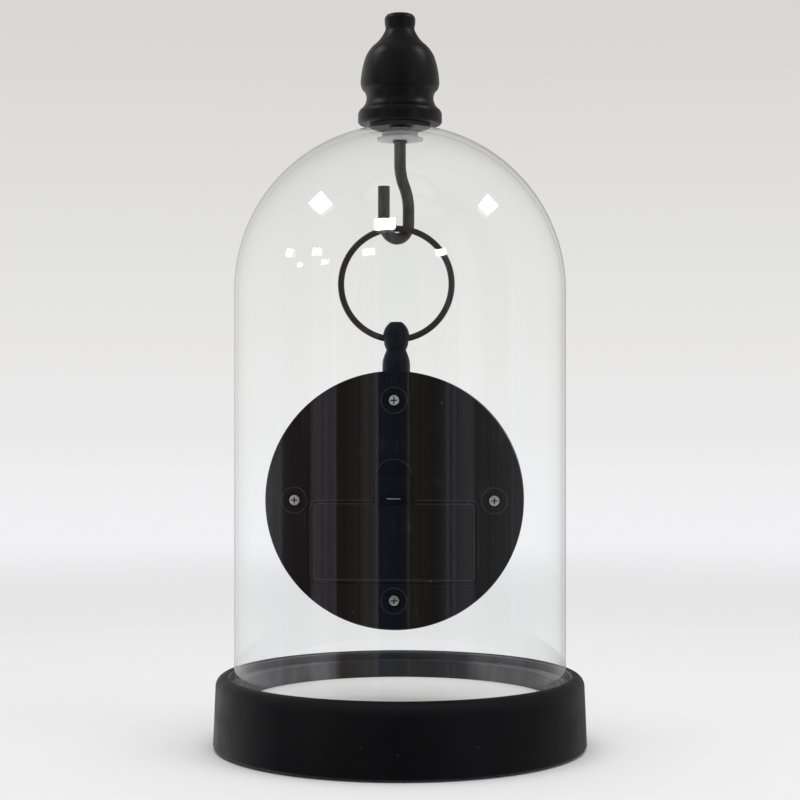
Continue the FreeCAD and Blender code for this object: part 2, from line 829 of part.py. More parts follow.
def movement_housing():
    """Open tray with the wheel compartment above and the cell's bay below."""
    outer = rounded_block(-housing_half_width, housing_half_width, housing_front, movement_cover_inner,
                          -housing_bottom, housing_top, housing_corner_radius)
    bay_top = bay_ceiling()
    compartment = block(-housing_half_width + housing_wall, housing_half_width - housing_wall,
                        train_floor, movement_cover_inner + overrun,
                        bay_top + housing_wall, housing_top - housing_wall)
    bay = block(-cell_bay_half_length(), cell_bay_half_length(), train_floor,
                movement_cover_inner + overrun, -housing_bottom + housing_wall, bay_top)
    bush = rod_y(bush_radius, dial_front - bush_rise, housing_front)
    body = cut_all(outer.fuse(bush), [compartment, bay])
    body = body.cut(rod_y(hour_pipe_radius + wheel_gap, dial_front - bush_rise - overrun,
                          train_floor + overrun))
    motion_post = rod_y(post_radius, housing_front, layer_start(2) - bearing_gap, motion_arbor)
    posts = [motion_post]
    posts += [rod_y(post_rise_radius, housing_front, stator_start() - bearing_gap, place)
              for place in stator_post_places()]
    posts += [rod_y(post_rise_radius, housing_front, board_start() - bearing_gap, place)
              for place in board_post_places()]
    body = fuse_all([body] + posts)
    bearings = [bearing_seat(place, arbor_radius) for place in (third_arbor, rotor_arbor)]
    bearings.append(bearing_seat(knob_arbor, knob_arbor_radius))
    return in_clock(fuse_all([body] + bearings).cut(bearing_holes()))


def bearing_seat(place, radius):
    """Small moulded bush on the housing's floor."""
    return rod_y(radius + post_radius, housing_front, train_floor + wheel_floor_gap, place)


def bearing_holes():
    depth = train_floor - housing_wall / 2
    tools = [rod_y(arbor_radius + bearing_gap, depth, train_floor + overrun, place)
             for place in (third_arbor, rotor_arbor)]
    tools.append(rod_y(knob_arbor_radius + bearing_gap, depth, train_floor + overrun, knob_arbor))
    return Part.makeCompound(tools)


def layer_start(layer):
    """Depth at which a layer of the wheel train begins: 0 lies next to the housing's floor."""
    return train_floor + wheel_floor_gap + layer * layer_pitch


def stator_start():
    return layer_start(4)


def stator_post_places():
    coil_centre = -coil_shift()
    reach = coil_length / 2 + coil_end_gap / 2
    return [(coil_centre - reach, rotor_arbor[1]), (coil_centre + reach, rotor_arbor[1])]


def coil_shift():
    """How far the coil's middle lies to the left of the clock's axis."""
    return housing_half_width - housing_wall - coil_end_gap - coil_length / 2


def board_left():
    return housing_half_width - housing_wall - board_margin - board_width


def board_bottom():
    return housing_top - housing_wall - board_margin - board_height


def board_start():
    return movement_cover_inner - board_back_gap - board_thickness


def board_post_places():
    edge = post_rise_radius + board_margin
    x = board_left() + board_width - edge
    return [(x, board_bottom() + edge), (x, board_bottom() + board_height - edge)]


def movement_cover():
    """Lid of the wheel compartment, with the posts and bearings that hang from it."""
    bay_top = bay_ceiling()
    lid = rounded_block(-housing_half_width, housing_half_width, movement_cover_inner + bearing_gap,
                        movement_cover_outer, bay_top + seat_gap, housing_top, housing_corner_radius)
    lid_inner = movement_cover_inner + bearing_gap
    fifth_post = rod_y(arbor_radius, layer_start(5) + bearing_gap, lid_inner, fifth_arbor)
    body = fuse_all([lid, fifth_post])
    hole_end = movement_cover_inner + movement_cover_thickness / 2
    tools = [rod_y(arbor_radius + bearing_gap, lid_inner - overrun, hole_end, place)
             for place in (third_arbor, rotor_arbor, centre_arbor)]
    tools.append(rod_y(knob_arbor_radius + bearing_gap, lid_inner - overrun,
                       movement_cover_outer + overrun, knob_arbor))
    return in_clock(cut_all(body, tools))


def movement_nut():
    nut_back = dial_front - bearing_gap
    nut = hexagon(movement_nut_across_flats, nut_back - movement_nut_thickness, nut_back, back,
                  point(0, 0, 0))
    bore = rod_y(bush_radius + bearing_gap, front_face, back_face)
    return in_clock(nut.cut(bore))


# Half widths of a tooth as shares of the pitch
tooth_root_share = 0.30
tooth_tip_share = 0.14


def toothed(teeth, radius, start, end, bore_radius, place):
    """Flat wheel with straight-sided teeth: radius is that of their tips."""
    root = radius - min(tooth_depth, radius / 3)
    pitch = 2 * math.pi / teeth
    corners = []
    for tooth in range(teeth):
        middle = tooth * pitch
        for reach, share in ((root, -tooth_root_share), (radius, -tooth_tip_share),
                             (radius, tooth_tip_share), (root, tooth_root_share)):
            angle = middle + share * pitch
            corners.append(point(place[0] + reach * math.cos(angle), start,
                                 place[1] + reach * math.sin(angle)))
    corners.append(corners[0])
    wheel = Part.Face(Part.makePolygon(corners)).extrude(back * (end - start))
    if bore_radius > 0:
        wheel = wheel.cut(rod_y(bore_radius, start - overrun, end + overrun, place))
    return wheel


def tip_radius(distance, own_teeth, other_teeth):
    """Radius of a wheel that just clears its mate at this distance between arbors."""
    return (distance - wheel_gap) * own_teeth / (own_teeth + other_teeth)


def hour_wheel():
    pipe_start = dial_front - bush_rise - hour_hand_gap - hand_thickness
    wheel = toothed(hour_wheel_teeth,
                    tip_radius(motion_arbor_distance, hour_wheel_teeth, motion_pinion_teeth),
                    layer_start(0), layer_start(0) + wheel_thickness, 0, centre_arbor)
    pipe = rod_y(hour_pipe_radius, pipe_start, layer_start(0) + wheel_thickness)
    bore = rod_y(minute_pipe_radius + bearing_gap, pipe_start - overrun, layer_start(1))
    return in_clock(wheel.fuse(pipe).cut(bore))


def minute_arbor():
    """Pipe with the cannon pinion and the setting wheel, turning inside the hour wheel's pipe."""
    start = dial_front - bush_rise - hour_hand_gap - hand_step - hand_thickness
    pinion = toothed(cannon_pinion_teeth,
                     tip_radius(motion_arbor_distance, cannon_pinion_teeth, motion_wheel_teeth),
                     layer_start(1), layer_start(1) + pinion_thickness, 0, centre_arbor)
    wheel = toothed(cannon_teeth, tip_radius(knob_arbor_distance, cannon_teeth, knob_teeth),
                    layer_start(2), layer_start(2) + wheel_thickness, 0, centre_arbor)
    pipe = rod_y(minute_pipe_radius, start, layer_start(3) + wheel_thickness)
    bore = rod_y(arbor_radius + bearing_gap, start - overrun, layer_start(4) + overrun)
    return in_clock(fuse_all([pipe, pinion, wheel]).cut(bore))


def second_arbor():
    start = dial_front - bush_rise - hour_hand_gap - hand_step - hand_step - hand_thickness
    pinion = toothed(second_pinion_teeth,
                     tip_radius(third_arbor_distance, second_pinion_teeth, third_wheel_teeth),
                     layer_start(4), layer_start(4) + pinion_thickness, 0, centre_arbor)
    wheel = toothed(second_wheel_teeth,
                    tip_radius(fifth_arbor_distance, second_wheel_teeth, fifth_pinion_teeth),
                    layer_start(5), layer_start(5) + wheel_thickness, 0, centre_arbor)
    arbor = rod_y(arbor_radius, start, movement_cover_inner + movement_cover_thickness / 2 - seat_gap)
    return in_clock(fuse_all([arbor, pinion, wheel]))


def motion_wheel():
    wheel = toothed(motion_wheel_teeth,
                    tip_radius(motion_arbor_distance, motion_wheel_teeth, cannon_pinion_teeth),
                    layer_start(1), layer_start(1) + wheel_thickness, 0, motion_arbor)
    pinion = toothed(motion_pinion_teeth,
                     tip_radius(motion_arbor_distance, motion_pinion_teeth, hour_wheel_teeth),
                     layer_start(0), layer_start(1), 0, motion_arbor)
    bore = rod_y(post_radius + bearing_gap, layer_start(0) - overrun, layer_start(2), motion_arbor)
    return in_clock(fuse_all([wheel, pinion]).cut(bore))


def centre_wheel():
    """Wheel that turns the minute arbor through a slipping fit."""
    return in_clock(toothed(centre_wheel_teeth,
                            tip_radius(third_arbor_distance, centre_wheel_teeth, third_pinion_teeth),
                            layer_start(3), layer_start(3) + wheel_thickness,
                            minute_pipe_radius + bearing_gap, centre_arbor))


def third_wheel():
    wheel = toothed(third_wheel_teeth,
                    tip_radius(third_arbor_distance, third_wheel_teeth, second_pinion_teeth),
                    layer_start(4), layer_start(4) + wheel_thickness, 0, third_arbor)
    pinion = toothed(third_pinion_teeth,
                     tip_radius(third_arbor_distance, third_pinion_teeth, centre_wheel_teeth),
                     layer_start(3), layer_start(3) + pinion_thickness, 0, third_arbor)
    return in_clock(fuse_all([full_arbor(third_arbor), wheel, pinion]))


def full_arbor(place):
    """Arbor from its bearing in the housing's floor to its bearing in the lid."""
    return rod_y(arbor_radius, train_floor - housing_wall / 2 + seat_gap,
                 movement_cover_inner + movement_cover_thickness / 2 - seat_gap, place)


def fifth_wheel():
    wheel = toothed(fifth_wheel_teeth,
                    tip_radius(rotor_arbor_distance, fifth_wheel_teeth, rotor_pinion_teeth),
                    layer_start(6), layer_start(6) + wheel_thickness, 0, fifth_arbor)
    pinion = toothed(fifth_pinion_teeth,
                     tip_radius(fifth_arbor_distance, fifth_pinion_teeth, second_wheel_teeth),
                     layer_start(5), layer_start(6), 0, fifth_arbor)
    bore = rod_y(arbor_radius + bearing_gap, layer_start(5) - overrun, layer_start(7), fifth_arbor)
    return in_clock(fuse_all([wheel, pinion]).cut(bore))


def rotor():
    pinion = toothed(rotor_pinion_teeth,
                     tip_radius(rotor_arbor_distance, rotor_pinion_teeth, fifth_wheel_teeth),
                     layer_start(6), layer_start(6) + pinion_thickness, 0, rotor_arbor)
    middle = stator_start() + stator_thickness / 2
    magnet = rod_y(rotor_magnet_radius, middle - rotor_magnet_height / 2, middle + rotor_magnet_height / 2,
                   rotor_arbor)
    return in_clock(fuse_all([full_arbor(rotor_arbor), magnet, pinion]))


def stator():
    """Soft iron plate round the rotor, with the core that runs through the coil."""
    start = stator_start()
    end = start + stator_thickness
    ring_outer = rotor_magnet_radius + stator_air_gap + stator_ring_width
    left = -coil_shift() - coil_length / 2 - coil_end_gap + seat_gap
    core = block(left, rotor_arbor[0], start, end, rotor_arbor[1] - stator_core_width / 2,
                 rotor_arbor[1] + stator_core_width / 2)
    ring = rod_y(ring_outer, start, end, rotor_arbor)
    hole = rod_y(rotor_magnet_radius + stator_air_gap, start - overrun, end + overrun, rotor_arbor)
    return in_clock(fuse_all([core, ring]).cut(hole))


def coil():
    """Bobbin with its copper winding, round the stator's core."""
    middle = point(-coil_shift() - coil_length / 2, stator_start() + stator_thickness / 2, rotor_arbor[1])
    winding = Part.makeCylinder(coil_radius - coil_winding_inset, coil_length, middle, right)
    ends = [Part.makeCylinder(coil_radius, coil_flange_thickness, middle, right),
            Part.makeCylinder(coil_radius, coil_flange_thickness,
                              middle + right * (coil_length - coil_flange_thickness), right)]
    body = fuse_all([winding] + ends)
    slot = block(middle.x - overrun, middle.x + coil_length + overrun,
                 stator_start() - bearing_gap, stator_start() + stator_thickness + bearing_gap,
                 rotor_arbor[1] - stator_core_width / 2 - bearing_gap,
                 rotor_arbor[1] + stator_core_width / 2 + bearing_gap)
    return in_clock(body.cut(slot))


def circuit_board():
    left = board_left()
    bottom = board_bottom()
    start = board_start()
    board = block(left, left + board_width, start, start + board_thickness, bottom, bottom + board_height)
    chip = rod_y(board_chip_radius, start - board_chip_height, start,
                 (left + board_width / 2, bottom + board_height / 2))
    return in_clock(board.fuse(chip))


def quartz_crystal():
    place = point(board_left() + board_width / 2 - quartz_length / 2, board_start() - quartz_radius,
                  board_bottom() + board_height / 2 + board_chip_radius + quartz_radius + board_margin)
    return in_clock(Part.makeCylinder(quartz_radius, quartz_length, place, right))


def setting_knob():
    """Fluted knob behind the battery door, on the arbor of the pinion that turns the hands."""
    knob_end = cover_inner_face - knob_door_gap
    knob_start = knob_end - knob_thickness
    knob = rod_y(knob_radius, knob_start, knob_end, knob_arbor)
    for flute in range(knob_flutes):
        angle = 2 * math.pi * flute / knob_flutes
        place = (knob_arbor[0] + knob_radius * math.cos(angle), knob_arbor[1] + knob_radius * math.sin(angle))
        knob = knob.cut(rod_y(knob_flute_radius, knob_start - overrun, knob_end + overrun, place))
    pinion = toothed(knob_teeth, tip_radius(knob_arbor_distance, knob_teeth, cannon_teeth),
                     layer_start(2), layer_start(2) + pinion_thickness, 0, knob_arbor)
    arbor = rod_y(knob_arbor_radius, train_floor - housing_wall / 2 + seat_gap, knob_end - seat_gap,
                  knob_arbor)
    return in_clock(fuse_all([knob, pinion, arbor]))


def cell_left():
    return -(cell_length + cell_nub_length) / 2 + cell_shift


def battery():
    start = point(cell_left(), cell_depth, -cell_drop)
    can = Part.makeCylinder(cell_radius, cell_length, start, right)
    can = can.makeFillet(contact_thickness, [e for e in can.Edges if e.Closed and e.Length > cell_length / 2])
    nub = Part.makeCylinder(cell_nub_radius, cell_nub_length, start + right * cell_length, right)
    return in_clock(can.fuse(nub))


def contact_positive():
    left = cell_left() + cell_length + cell_nub_length + bearing_gap
    front = cell_depth - contact_width / 2
    low = -cell_drop - contact_width / 2
    plate = block(left, left + contact_thickness, front, front + contact_width, low, low + contact_width)
    foot = block(left, cell_bay_half_length() - bearing_gap, front, front + contact_width,
                 low, low + contact_thickness)
    return in_clock(plate.fuse(foot))


def contact_negative():
    """Bent leaf that presses on the flat end of the cell."""
    wall = -cell_bay_half_length() + bearing_gap
    tip = cell_left() - bearing_gap
    low = -cell_drop - contact_width / 2
    high = -cell_drop + contact_width / 2
    middle = -cell_drop
    half = contact_thickness
    outline = [
        point(wall, 0, low), point(tip - half, 0, middle), point(wall, 0, high),
        point(wall + half, 0, high), point(tip, 0, middle), point(wall + half, 0, low), point(wall, 0, low)]
    leaf = Part.Face(Part.makePolygon(outline)).extrude(back * contact_width)
    leaf.translate(back * (cell_depth - contact_width / 2))
    return in_clock(leaf)


def hand(outline, start, hub_radius, bore_radius, degrees):
    """Flat hand pointing at 12 in its own outline, then turned to where it stands at rest."""
    corners = [point(x, start, z) for x, z in outline]
    corners.append(corners[0])
    blade = Part.Face(Part.makePolygon(corners)).extrude(back * hand_thickness)
    hub = rod_y(hub_radius, start, start + hand_thickness)
    body = fuse_all([blade, hub]).cut(rod_y(bore_radius, start - overrun, start + hand_thickness + overrun))
    body.rotate(point(0, 0, 0), back, degrees)
    return in_clock(body)


# Where a hand's leaf begins along its length, and how narrow the hand is there
leaf_start_share = 0.62
leaf_neck_share = 0.7


def spade_outline(length, width, waist):
    """Tapered blade with a leaf near its tip: waist is its half width at the hub."""
    leaf = length * leaf_start_share
    neck = waist * leaf_neck_share
    return [(-waist, 0), (-neck, leaf), (-width / 2, leaf + width), (0, length),
            (width / 2, leaf + width), (neck, leaf), (waist, 0)]


def hour_hand():
    start = dial_front - bush_rise - hour_hand_gap - hand_thickness
    return hand(spade_outline(hour_hand_length, hour_hand_width, hour_pipe_radius / 2), start,
                hour_pipe_radius + hand_hub_extra, hour_pipe_radius + bearing_gap, hour_hand_degrees)


def minute_hand():
    start = dial_front - bush_rise - hour_hand_gap - hand_step - hand_thickness
    return hand(spade_outline(minute_hand_length, minute_hand_width, minute_pipe_radius / 2), start,
                minute_pipe_radius + hand_hub_extra, minute_pipe_radius + bearing_gap, minute_hand_degrees)


def second_hand():
    start = dial_front - bush_rise - hour_hand_gap - hand_step - hand_step - hand_thickness
    half = second_hand_width / 2
    outline = [(-half, -second_tail_length), (-half / 2, second_hand_length),
               (half / 2, second_hand_length), (half, -second_tail_length)]
    return hand(outline, start, second_disc_radius, arbor_radius + bearing_gap, second_hand_degrees)


parts = [base, base_pad, floor_disc, glass_dome, dome_gasket, dome_grommet, clear_washer, hook, finial,
         finial_insert, hanging_ring, pendant_knob, pendant_nut, case_band, front_bezel, crystal, dial_spacer,
         dial, rear_cover, rear_screws, battery_door, movement_housing, movement_cover, movement_nut,
         circuit_board, quartz_crystal, stator, coil, battery, contact_positive, contact_negative,
         hour_hand, hour_wheel, minute_hand, minute_arbor, second_hand, second_arbor, motion_wheel,
         centre_wheel, third_wheel, fifth_wheel, rotor, setting_knob]

os.makedirs("parts", exist_ok=True)
for make in parts:
    shape = make()
    shape.exportStep("parts/" + make.__name__ + ".step")
    print(make.__name__, len(shape.Solids), "solids", round(shape.Volume), "mm3", shape.isValid())
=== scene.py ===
import math

import bmesh
import bpy
from mathutils import Matrix, Vector


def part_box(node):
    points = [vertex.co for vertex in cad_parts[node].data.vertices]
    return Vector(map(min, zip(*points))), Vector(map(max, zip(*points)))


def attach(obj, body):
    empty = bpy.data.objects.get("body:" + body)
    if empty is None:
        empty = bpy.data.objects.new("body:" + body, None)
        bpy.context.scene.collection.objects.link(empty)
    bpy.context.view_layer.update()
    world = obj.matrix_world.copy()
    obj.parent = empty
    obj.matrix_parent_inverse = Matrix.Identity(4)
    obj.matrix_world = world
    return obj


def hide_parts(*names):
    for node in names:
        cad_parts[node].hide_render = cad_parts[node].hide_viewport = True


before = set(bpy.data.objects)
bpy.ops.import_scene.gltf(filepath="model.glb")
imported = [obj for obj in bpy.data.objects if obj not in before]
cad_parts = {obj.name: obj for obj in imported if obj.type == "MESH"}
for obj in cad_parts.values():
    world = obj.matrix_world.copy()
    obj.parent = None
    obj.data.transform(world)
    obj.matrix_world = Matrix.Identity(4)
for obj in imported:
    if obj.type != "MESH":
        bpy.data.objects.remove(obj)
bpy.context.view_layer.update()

MM = 0.001

# Camera: the photograph looks at the clock's back, a little from the left of it
CAMERA_AZIMUTH = 184.0
CAMERA_DISTANCE = 0.781
CAMERA_HEIGHT = 0.1455
CAMERA_LENS = 82.35
CAMERA_SHIFT_Y = 0.005
SENSOR_WIDTH = 36
CLIP_START, CLIP_END = 0.01, 100

# Range that most of a noise lies in
NOISE_LOW, NOISE_HIGH = 0.3, 0.7
# How far a noise is drawn out for scratches, and the scale of the patches that they lie in
SCRATCH_STRETCH, SCRATCH_PATCHES = 0.035, 60.0


def link_new(name, data):
    obj = bpy.data.objects.new(name, data)
    bpy.context.scene.collection.objects.link(obj)
    return obj


def shade(colour, share):
    """The colour made darker or lighter by a share."""
    return tuple(c * share for c in colour)


# Materials
class Nodes:
    """A node tree, and short ways to add to it."""

    def __init__(self, tree):
        self.tree = tree

    def node(self, kind, inputs=None, **settings):
        """New node with these settings. Each input is a value, or an output to link."""
        made = self.tree.nodes.new(kind)
        for key, value in settings.items():
            setattr(made, key, value)
        for key, value in (inputs or {}).items():
            self.put(made.inputs[key], value)
        return made

    def put(self, socket, value):
        if isinstance(value, bpy.types.NodeSocket):
            self.tree.links.new(value, socket)
        elif isinstance(value, tuple) and len(value) == 3 and socket.type == "RGBA":
            socket.default_value = (*value, 1)
        else:
            socket.default_value = value

    def curve(self, value, low, high, to_low=0.0, to_high=1.0, **settings):
        """The value's place between low and high, as a number from to_low to to_high."""
        made = self.node("ShaderNodeMapRange", {"Value": value, "From Min": low, "From Max": high,
                                                "To Min": to_low, "To Max": to_high}, **settings)
        return made.outputs["Result"]

    def math(self, operation, first, second=0.0):
        made = self.node("ShaderNodeMath", {0: first, 1: second}, operation=operation)
        return made.outputs["Value"]

    def scaled(self, vector, share):
        made = self.node("ShaderNodeVectorMath", {0: vector, "Scale": share}, operation="SCALE")
        return made.outputs["Vector"]

    def mix(self, share, first, second):
        """Colour between two others. Sockets 6 and 7, and output 2, are those for colours."""
        made = self.node("ShaderNodeMix", {"Factor": share, 6: first, 7: second}, data_type="RGBA")
        return made.outputs[2]

    def ramp(self, stops, value):
        """Colour by a value, between stops of (value, red, green, blue)."""
        low, high = stops[0][0], stops[-1][0]
        made = self.node("ShaderNodeValToRGB", {"Fac": self.curve(value, low, high)})
        elements = made.color_ramp.elements
        while len(elements) < len(stops):
            elements.new(1.0)
        for element, (at, *colour) in zip(elements, stops):
            element.position = (at - low) / (high - low)
            element.color = (*colour, 1)
        return made.outputs["Color"]


class Paint(Nodes):
    """One procedural material, with textures in the object's own coordinates."""

    def __init__(self, name, colour, **settings):
        self.material = bpy.data.materials.new(name)
        self.material.use_nodes = True
        super().__init__(self.material.node_tree)
        self.shader = self.tree.nodes["Principled BSDF"]
        self.shader.inputs["Base Color"].default_value = (*colour, 1)
        for socket, value in settings.items():
            self.shader.inputs[socket.replace("_", " ")].default_value = value

    def place(self):
        return self.node("ShaderNodeTexCoord").outputs["Object"]

    def stretched(self, scale, turn=(0, 0, 0)):
        made = self.node("ShaderNodeMapping", {"Vector": self.place(), "Scale": scale, "Rotation": turn})
        return made.outputs["Vector"]

    def noise(self, scale, detail=3.0, rough=0.55, vector=None, distortion=0.0):
        made = self.node("ShaderNodeTexNoise", {"Scale": scale, "Detail": detail, "Roughness": rough,
                                                "Distortion": distortion, "Vector": vector or self.place()})
        return made.outputs["Fac"]

    def cells(self, scale):
        """Voronoi cells, with their distance and their own colour."""
        return self.node("ShaderNodeTexVoronoi", {"Scale": scale, "Vector": self.place()}).outputs

    def axis(self, letter):
        return self.node("ShaderNodeSeparateXYZ", {"Vector": self.place()}).outputs[letter]

    def from_axis(self):
        """Distance from the upright axis."""
        flat = self.node("ShaderNodeVectorMath", {0: self.place(), 1: (1, 1, 0)}, operation="MULTIPLY")
        made = self.node("ShaderNodeVectorMath", {0: flat.outputs["Vector"]}, operation="LENGTH")
        return made.outputs["Value"]

    def specks(self, scale, size, share):
        """Small round spots, of which only a share of the cells has one."""
        cell = self.cells(scale)
        near = self.math("LESS_THAN", cell["Distance"], size)
        pick = self.node("ShaderNodeSeparateColor", {"Color": cell["Color"]}).outputs["Red"]
        return self.math("MULTIPLY", near, self.math("LESS_THAN", pick, share))

    def lines(self, noise, width):
        """Thin lines where a noise crosses its middle."""
        return self.math("LESS_THAN", self.math("ABSOLUTE", self.math("SUBTRACT", noise, 0.5)), width)

    def scratches(self, scale, width, turn, share):
        """Fine straight scratches: thin lines of a stretched noise, only in some places."""
        drawn_out = self.noise(scale, 2.0, 0.5, self.stretched((1, 1, SCRATCH_STRETCH), turn))
        where = self.math("GREATER_THAN", self.noise(SCRATCH_PATCHES, 2.0), 1.0 - share)
        return self.math("MULTIPLY", self.lines(drawn_out, width), where)

    def colour(self, value):
        self.put(self.shader.inputs["Base Color"], value)

    def rough(self, noise, low, high):
        """Roughness that goes from low to high with a noise."""
        self.put(self.shader.inputs["Roughness"], self.curve(noise, NOISE_LOW, NOISE_HIGH, low, high))

    def bump(self, height, strength, depth):
        made = self.node("ShaderNodeBump", {"Height": height, "Strength": strength, "Distance": depth})
        self.put(self.shader.inputs["Normal"], made.outputs["Normal"])
        return made.outputs["Normal"]


PAINT_DUST = (0.085, 0.082, 0.078)
PEEL_DEPTH = 0.12 * MM


def satin_paint(name, colour, worn, roughness, specular, tone=None):
    """Sprayed satin paint: soft grain, fine orange peel, specks of dust, rubbed places. A tone is a function
    that adds to the colour."""
    p = Paint(name, colour, Specular_IOR_Level=specular)
    base = p.mix(p.noise(38.0, 4.0, 0.6), shade(colour, 0.75), shade(colour, 1.3))
    rubbed = p.curve(p.noise(14.0, 5.0, 0.65), 0.52, 0.72, 0.0, 0.35)
    base = p.mix(rubbed, base, worn)
    if tone:
        base = tone(p, base)
    dust = p.specks(420.0, 0.085, 0.10)
    p.colour(p.mix(dust, base, PAINT_DUST))
    p.rough(p.noise(55.0, 4.0, 0.6), roughness - 0.06, roughness + 0.08)
    p.bump(p.math("ADD", p.noise(900.0, 2.0, 0.5), p.math("MULTIPLY", dust, 1.6)), 0.22, PEEL_DEPTH)
    return p.material


# The base under the glass: its well has a painted reflection of the glass, streaked and paler at both sides,
# and its rim a painted highlight that makes it a little greyer
WELL_RADIUS = 73.0 * MM
WELL_PAINTED_REFLECTION, WELL_PAINTED_REFLECTION_SIDES = (0.022, 0.0215, 0.025), (0.125, 0.123, 0.128)
PAINTED_REFLECTION_RANGE = (0.7, 1.6)
RIGHT_SIDE_FROM, RIGHT_SIDE_TO = 31.0 * MM, 37.0 * MM
LEFT_SIDE_FROM, LEFT_SIDE_TO = -26.0 * MM, -32.0 * MM
RIM_PAINTED_HIGHLIGHT = (0.0085, 0.0080, 0.0090)
RIM_FROM, RIM_TO = 25.0 * MM, 29.0 * MM


def well_painted_reflection(p, base):
    """Adds the rim's painted highlight and the well's painted reflection of the glass to the paint of the
    base.
    """
    # painted highlight: the rim is made greyer above this height
    base = p.mix(p.curve(p.axis("Z"), RIM_FROM, RIM_TO), base, RIM_PAINTED_HIGHLIGHT)
    across = p.axis("X")
    beside = p.math("MAXIMUM", p.curve(across, RIGHT_SIDE_FROM, RIGHT_SIDE_TO),
                    p.curve(across, LEFT_SIDE_FROM, LEFT_SIDE_TO))
    # painted reflection of the glass in the well: streaked, and paler at both sides
    reflection_streaks = p.curve(p.noise(60.0, 6.0, 0.7, p.stretched((1, 1, 0.35))), 0.30, 0.72, *PAINTED_REFLECTION_RANGE)
    painted_reflection = p.scaled(p.mix(beside, WELL_PAINTED_REFLECTION, WELL_PAINTED_REFLECTION_SIDES), reflection_streaks)
    return p.mix(p.math("LESS_THAN", p.from_axis(), WELL_RADIUS), base, painted_reflection)


def moulded_plastic(name, colour, worn, roughness, specular=0.35, grain=1500.0, scuffs=True):
    """Injection-moulded plastic: fine spark texture, flow marks, scuffs and dust."""
    p = Paint(name, colour, Specular_IOR_Level=specular)
    flow = p.noise(24.0, 3.0, 0.5, p.stretched((1, 1, 0.4)), distortion=0.6)
    base = p.mix(flow, shade(colour, 0.8), shade(colour, 1.25))
    if scuffs:
        marks = p.math("MAXIMUM", p.scratches(260.0, 0.006, (0.3, 0.5, 0.2), 0.42),
                       p.scratches(220.0, 0.005, (0.2, -0.9, 0.5), 0.40))
        base = p.mix(p.math("MULTIPLY", marks, 0.5), base, worn)
        base = p.mix(p.specks(430.0, 0.13, 0.014), base, shade(worn, 7.0))
    p.colour(base)
    p.rough(p.noise(30.0, 5.0, 0.65), roughness - 0.05, roughness + 0.10)
    p.bump(p.noise(grain, 2.0, 0.5), 0.07, 0.08 * MM)
    return p.material


def bare_metal(name, colour, dark, roughness, grain, scale=900.0, pitted=0.3, metallic=1.0):
    """Metal with drawing marks, stains and small pits."""
    p = Paint(name, colour, Metallic=metallic)
    marks = p.noise(scale, 3.0, 0.6, p.stretched(grain))
    stain = p.curve(p.noise(160.0, 5.0, 0.7), 0.42, 0.66)
    p.colour(p.mix(p.math("MULTIPLY", stain, pitted), p.mix(marks, dark, colour), dark))
    p.rough(p.noise(210.0, 4.0, 0.6), roughness - 0.08, roughness + 0.16)
    pits = p.curve(p.cells(1400.0)["Distance"], 0.0, 0.22)
    p.bump(p.math("ADD", marks, p.math("MULTIPLY", pits, pitted)), 0.3, 0.06 * MM)
    return p.material


def felt():
    p = Paint("felt", (0.014, 0.014, 0.015), Roughness=0.95, Sheen_Weight=0.35)
    fibres = p.noise(2600.0, 4.0, 0.7, distortion=1.2)
    p.colour(p.mix(fibres, (0.008, 0.008, 0.009), (0.026, 0.026, 0.027)))
    p.bump(p.math("ADD", fibres, p.noise(700.0)), 0.8, 0.4 * MM)
    return p.material


def white_card():
    """The pale disc in the base: painted board with a slight paper grain and a few marks."""
    p = Paint("floor_white", (0.88, 0.88, 0.87), Roughness=0.5)
    marks = p.curve(p.noise(46.0, 6.0, 0.7), 0.55, 0.75, 0.0, 0.30)
    fibre = p.noise(1200.0, 3.0, 0.6)
    base = p.mix(fibre, (0.95, 0.95, 0.94), (0.985, 0.985, 0.975))
    p.colour(p.mix(marks, base, (0.84, 0.83, 0.80)))
    p.bump(fibre, 0.15, 0.1 * MM)
    return p.material


# The glass hardly bends what goes through it, and its coat mirrors as glass of its index does
GLASS_BEND, GLASS_INDEX = 1.001, 1.46


def blown_glass(name, mirror):
    """Clear thin-walled glass: light goes straight through, and the coat is the mirror of its surface."""
    p = Paint(name, (0.988, 0.996, 0.992), Roughness=0.0, IOR=GLASS_BEND, Transmission_Weight=1.0,
              Specular_IOR_Level=0.5, Coat_Weight=mirror, Coat_IOR=GLASS_INDEX, Coat_Roughness=0.0)
    waves = p.bump(p.noise(7.0, 2.0, 0.4, p.stretched((1, 1, 0.12))), 0.02, 1.0 * MM)
    p.put(p.shader.inputs["Coat Normal"], waves)
    return p.material


def clear_plastic():
    p = Paint("clear_plastic", (0.95, 0.95, 0.94), IOR=1.46, Transmission_Weight=0.35,
              Specular_IOR_Level=0.35)
    cloud = p.noise(420.0, 4.0, 0.6)
    p.colour(p.mix(cloud, (0.90, 0.90, 0.89), (0.99, 0.99, 0.98)))
    p.rough(cloud, 0.30, 0.48)
    p.bump(cloud, 0.2, 0.1 * MM)
    return p.material


def rubber():
    p = Paint("rubber_black", (0.03, 0.03, 0.032), Specular_IOR_Level=0.3)
    grain = p.noise(1600.0, 3.0, 0.6)
    p.colour(p.mix(grain, (0.02, 0.02, 0.021), (0.05, 0.05, 0.052)))
    p.rough(p.noise(90.0), 0.55, 0.75)
    p.bump(grain, 0.3, 0.1 * MM)
    return p.material


DIAL_AGED_FROM, DIAL_AGED_TO = 26.0 * MM, 52.0 * MM


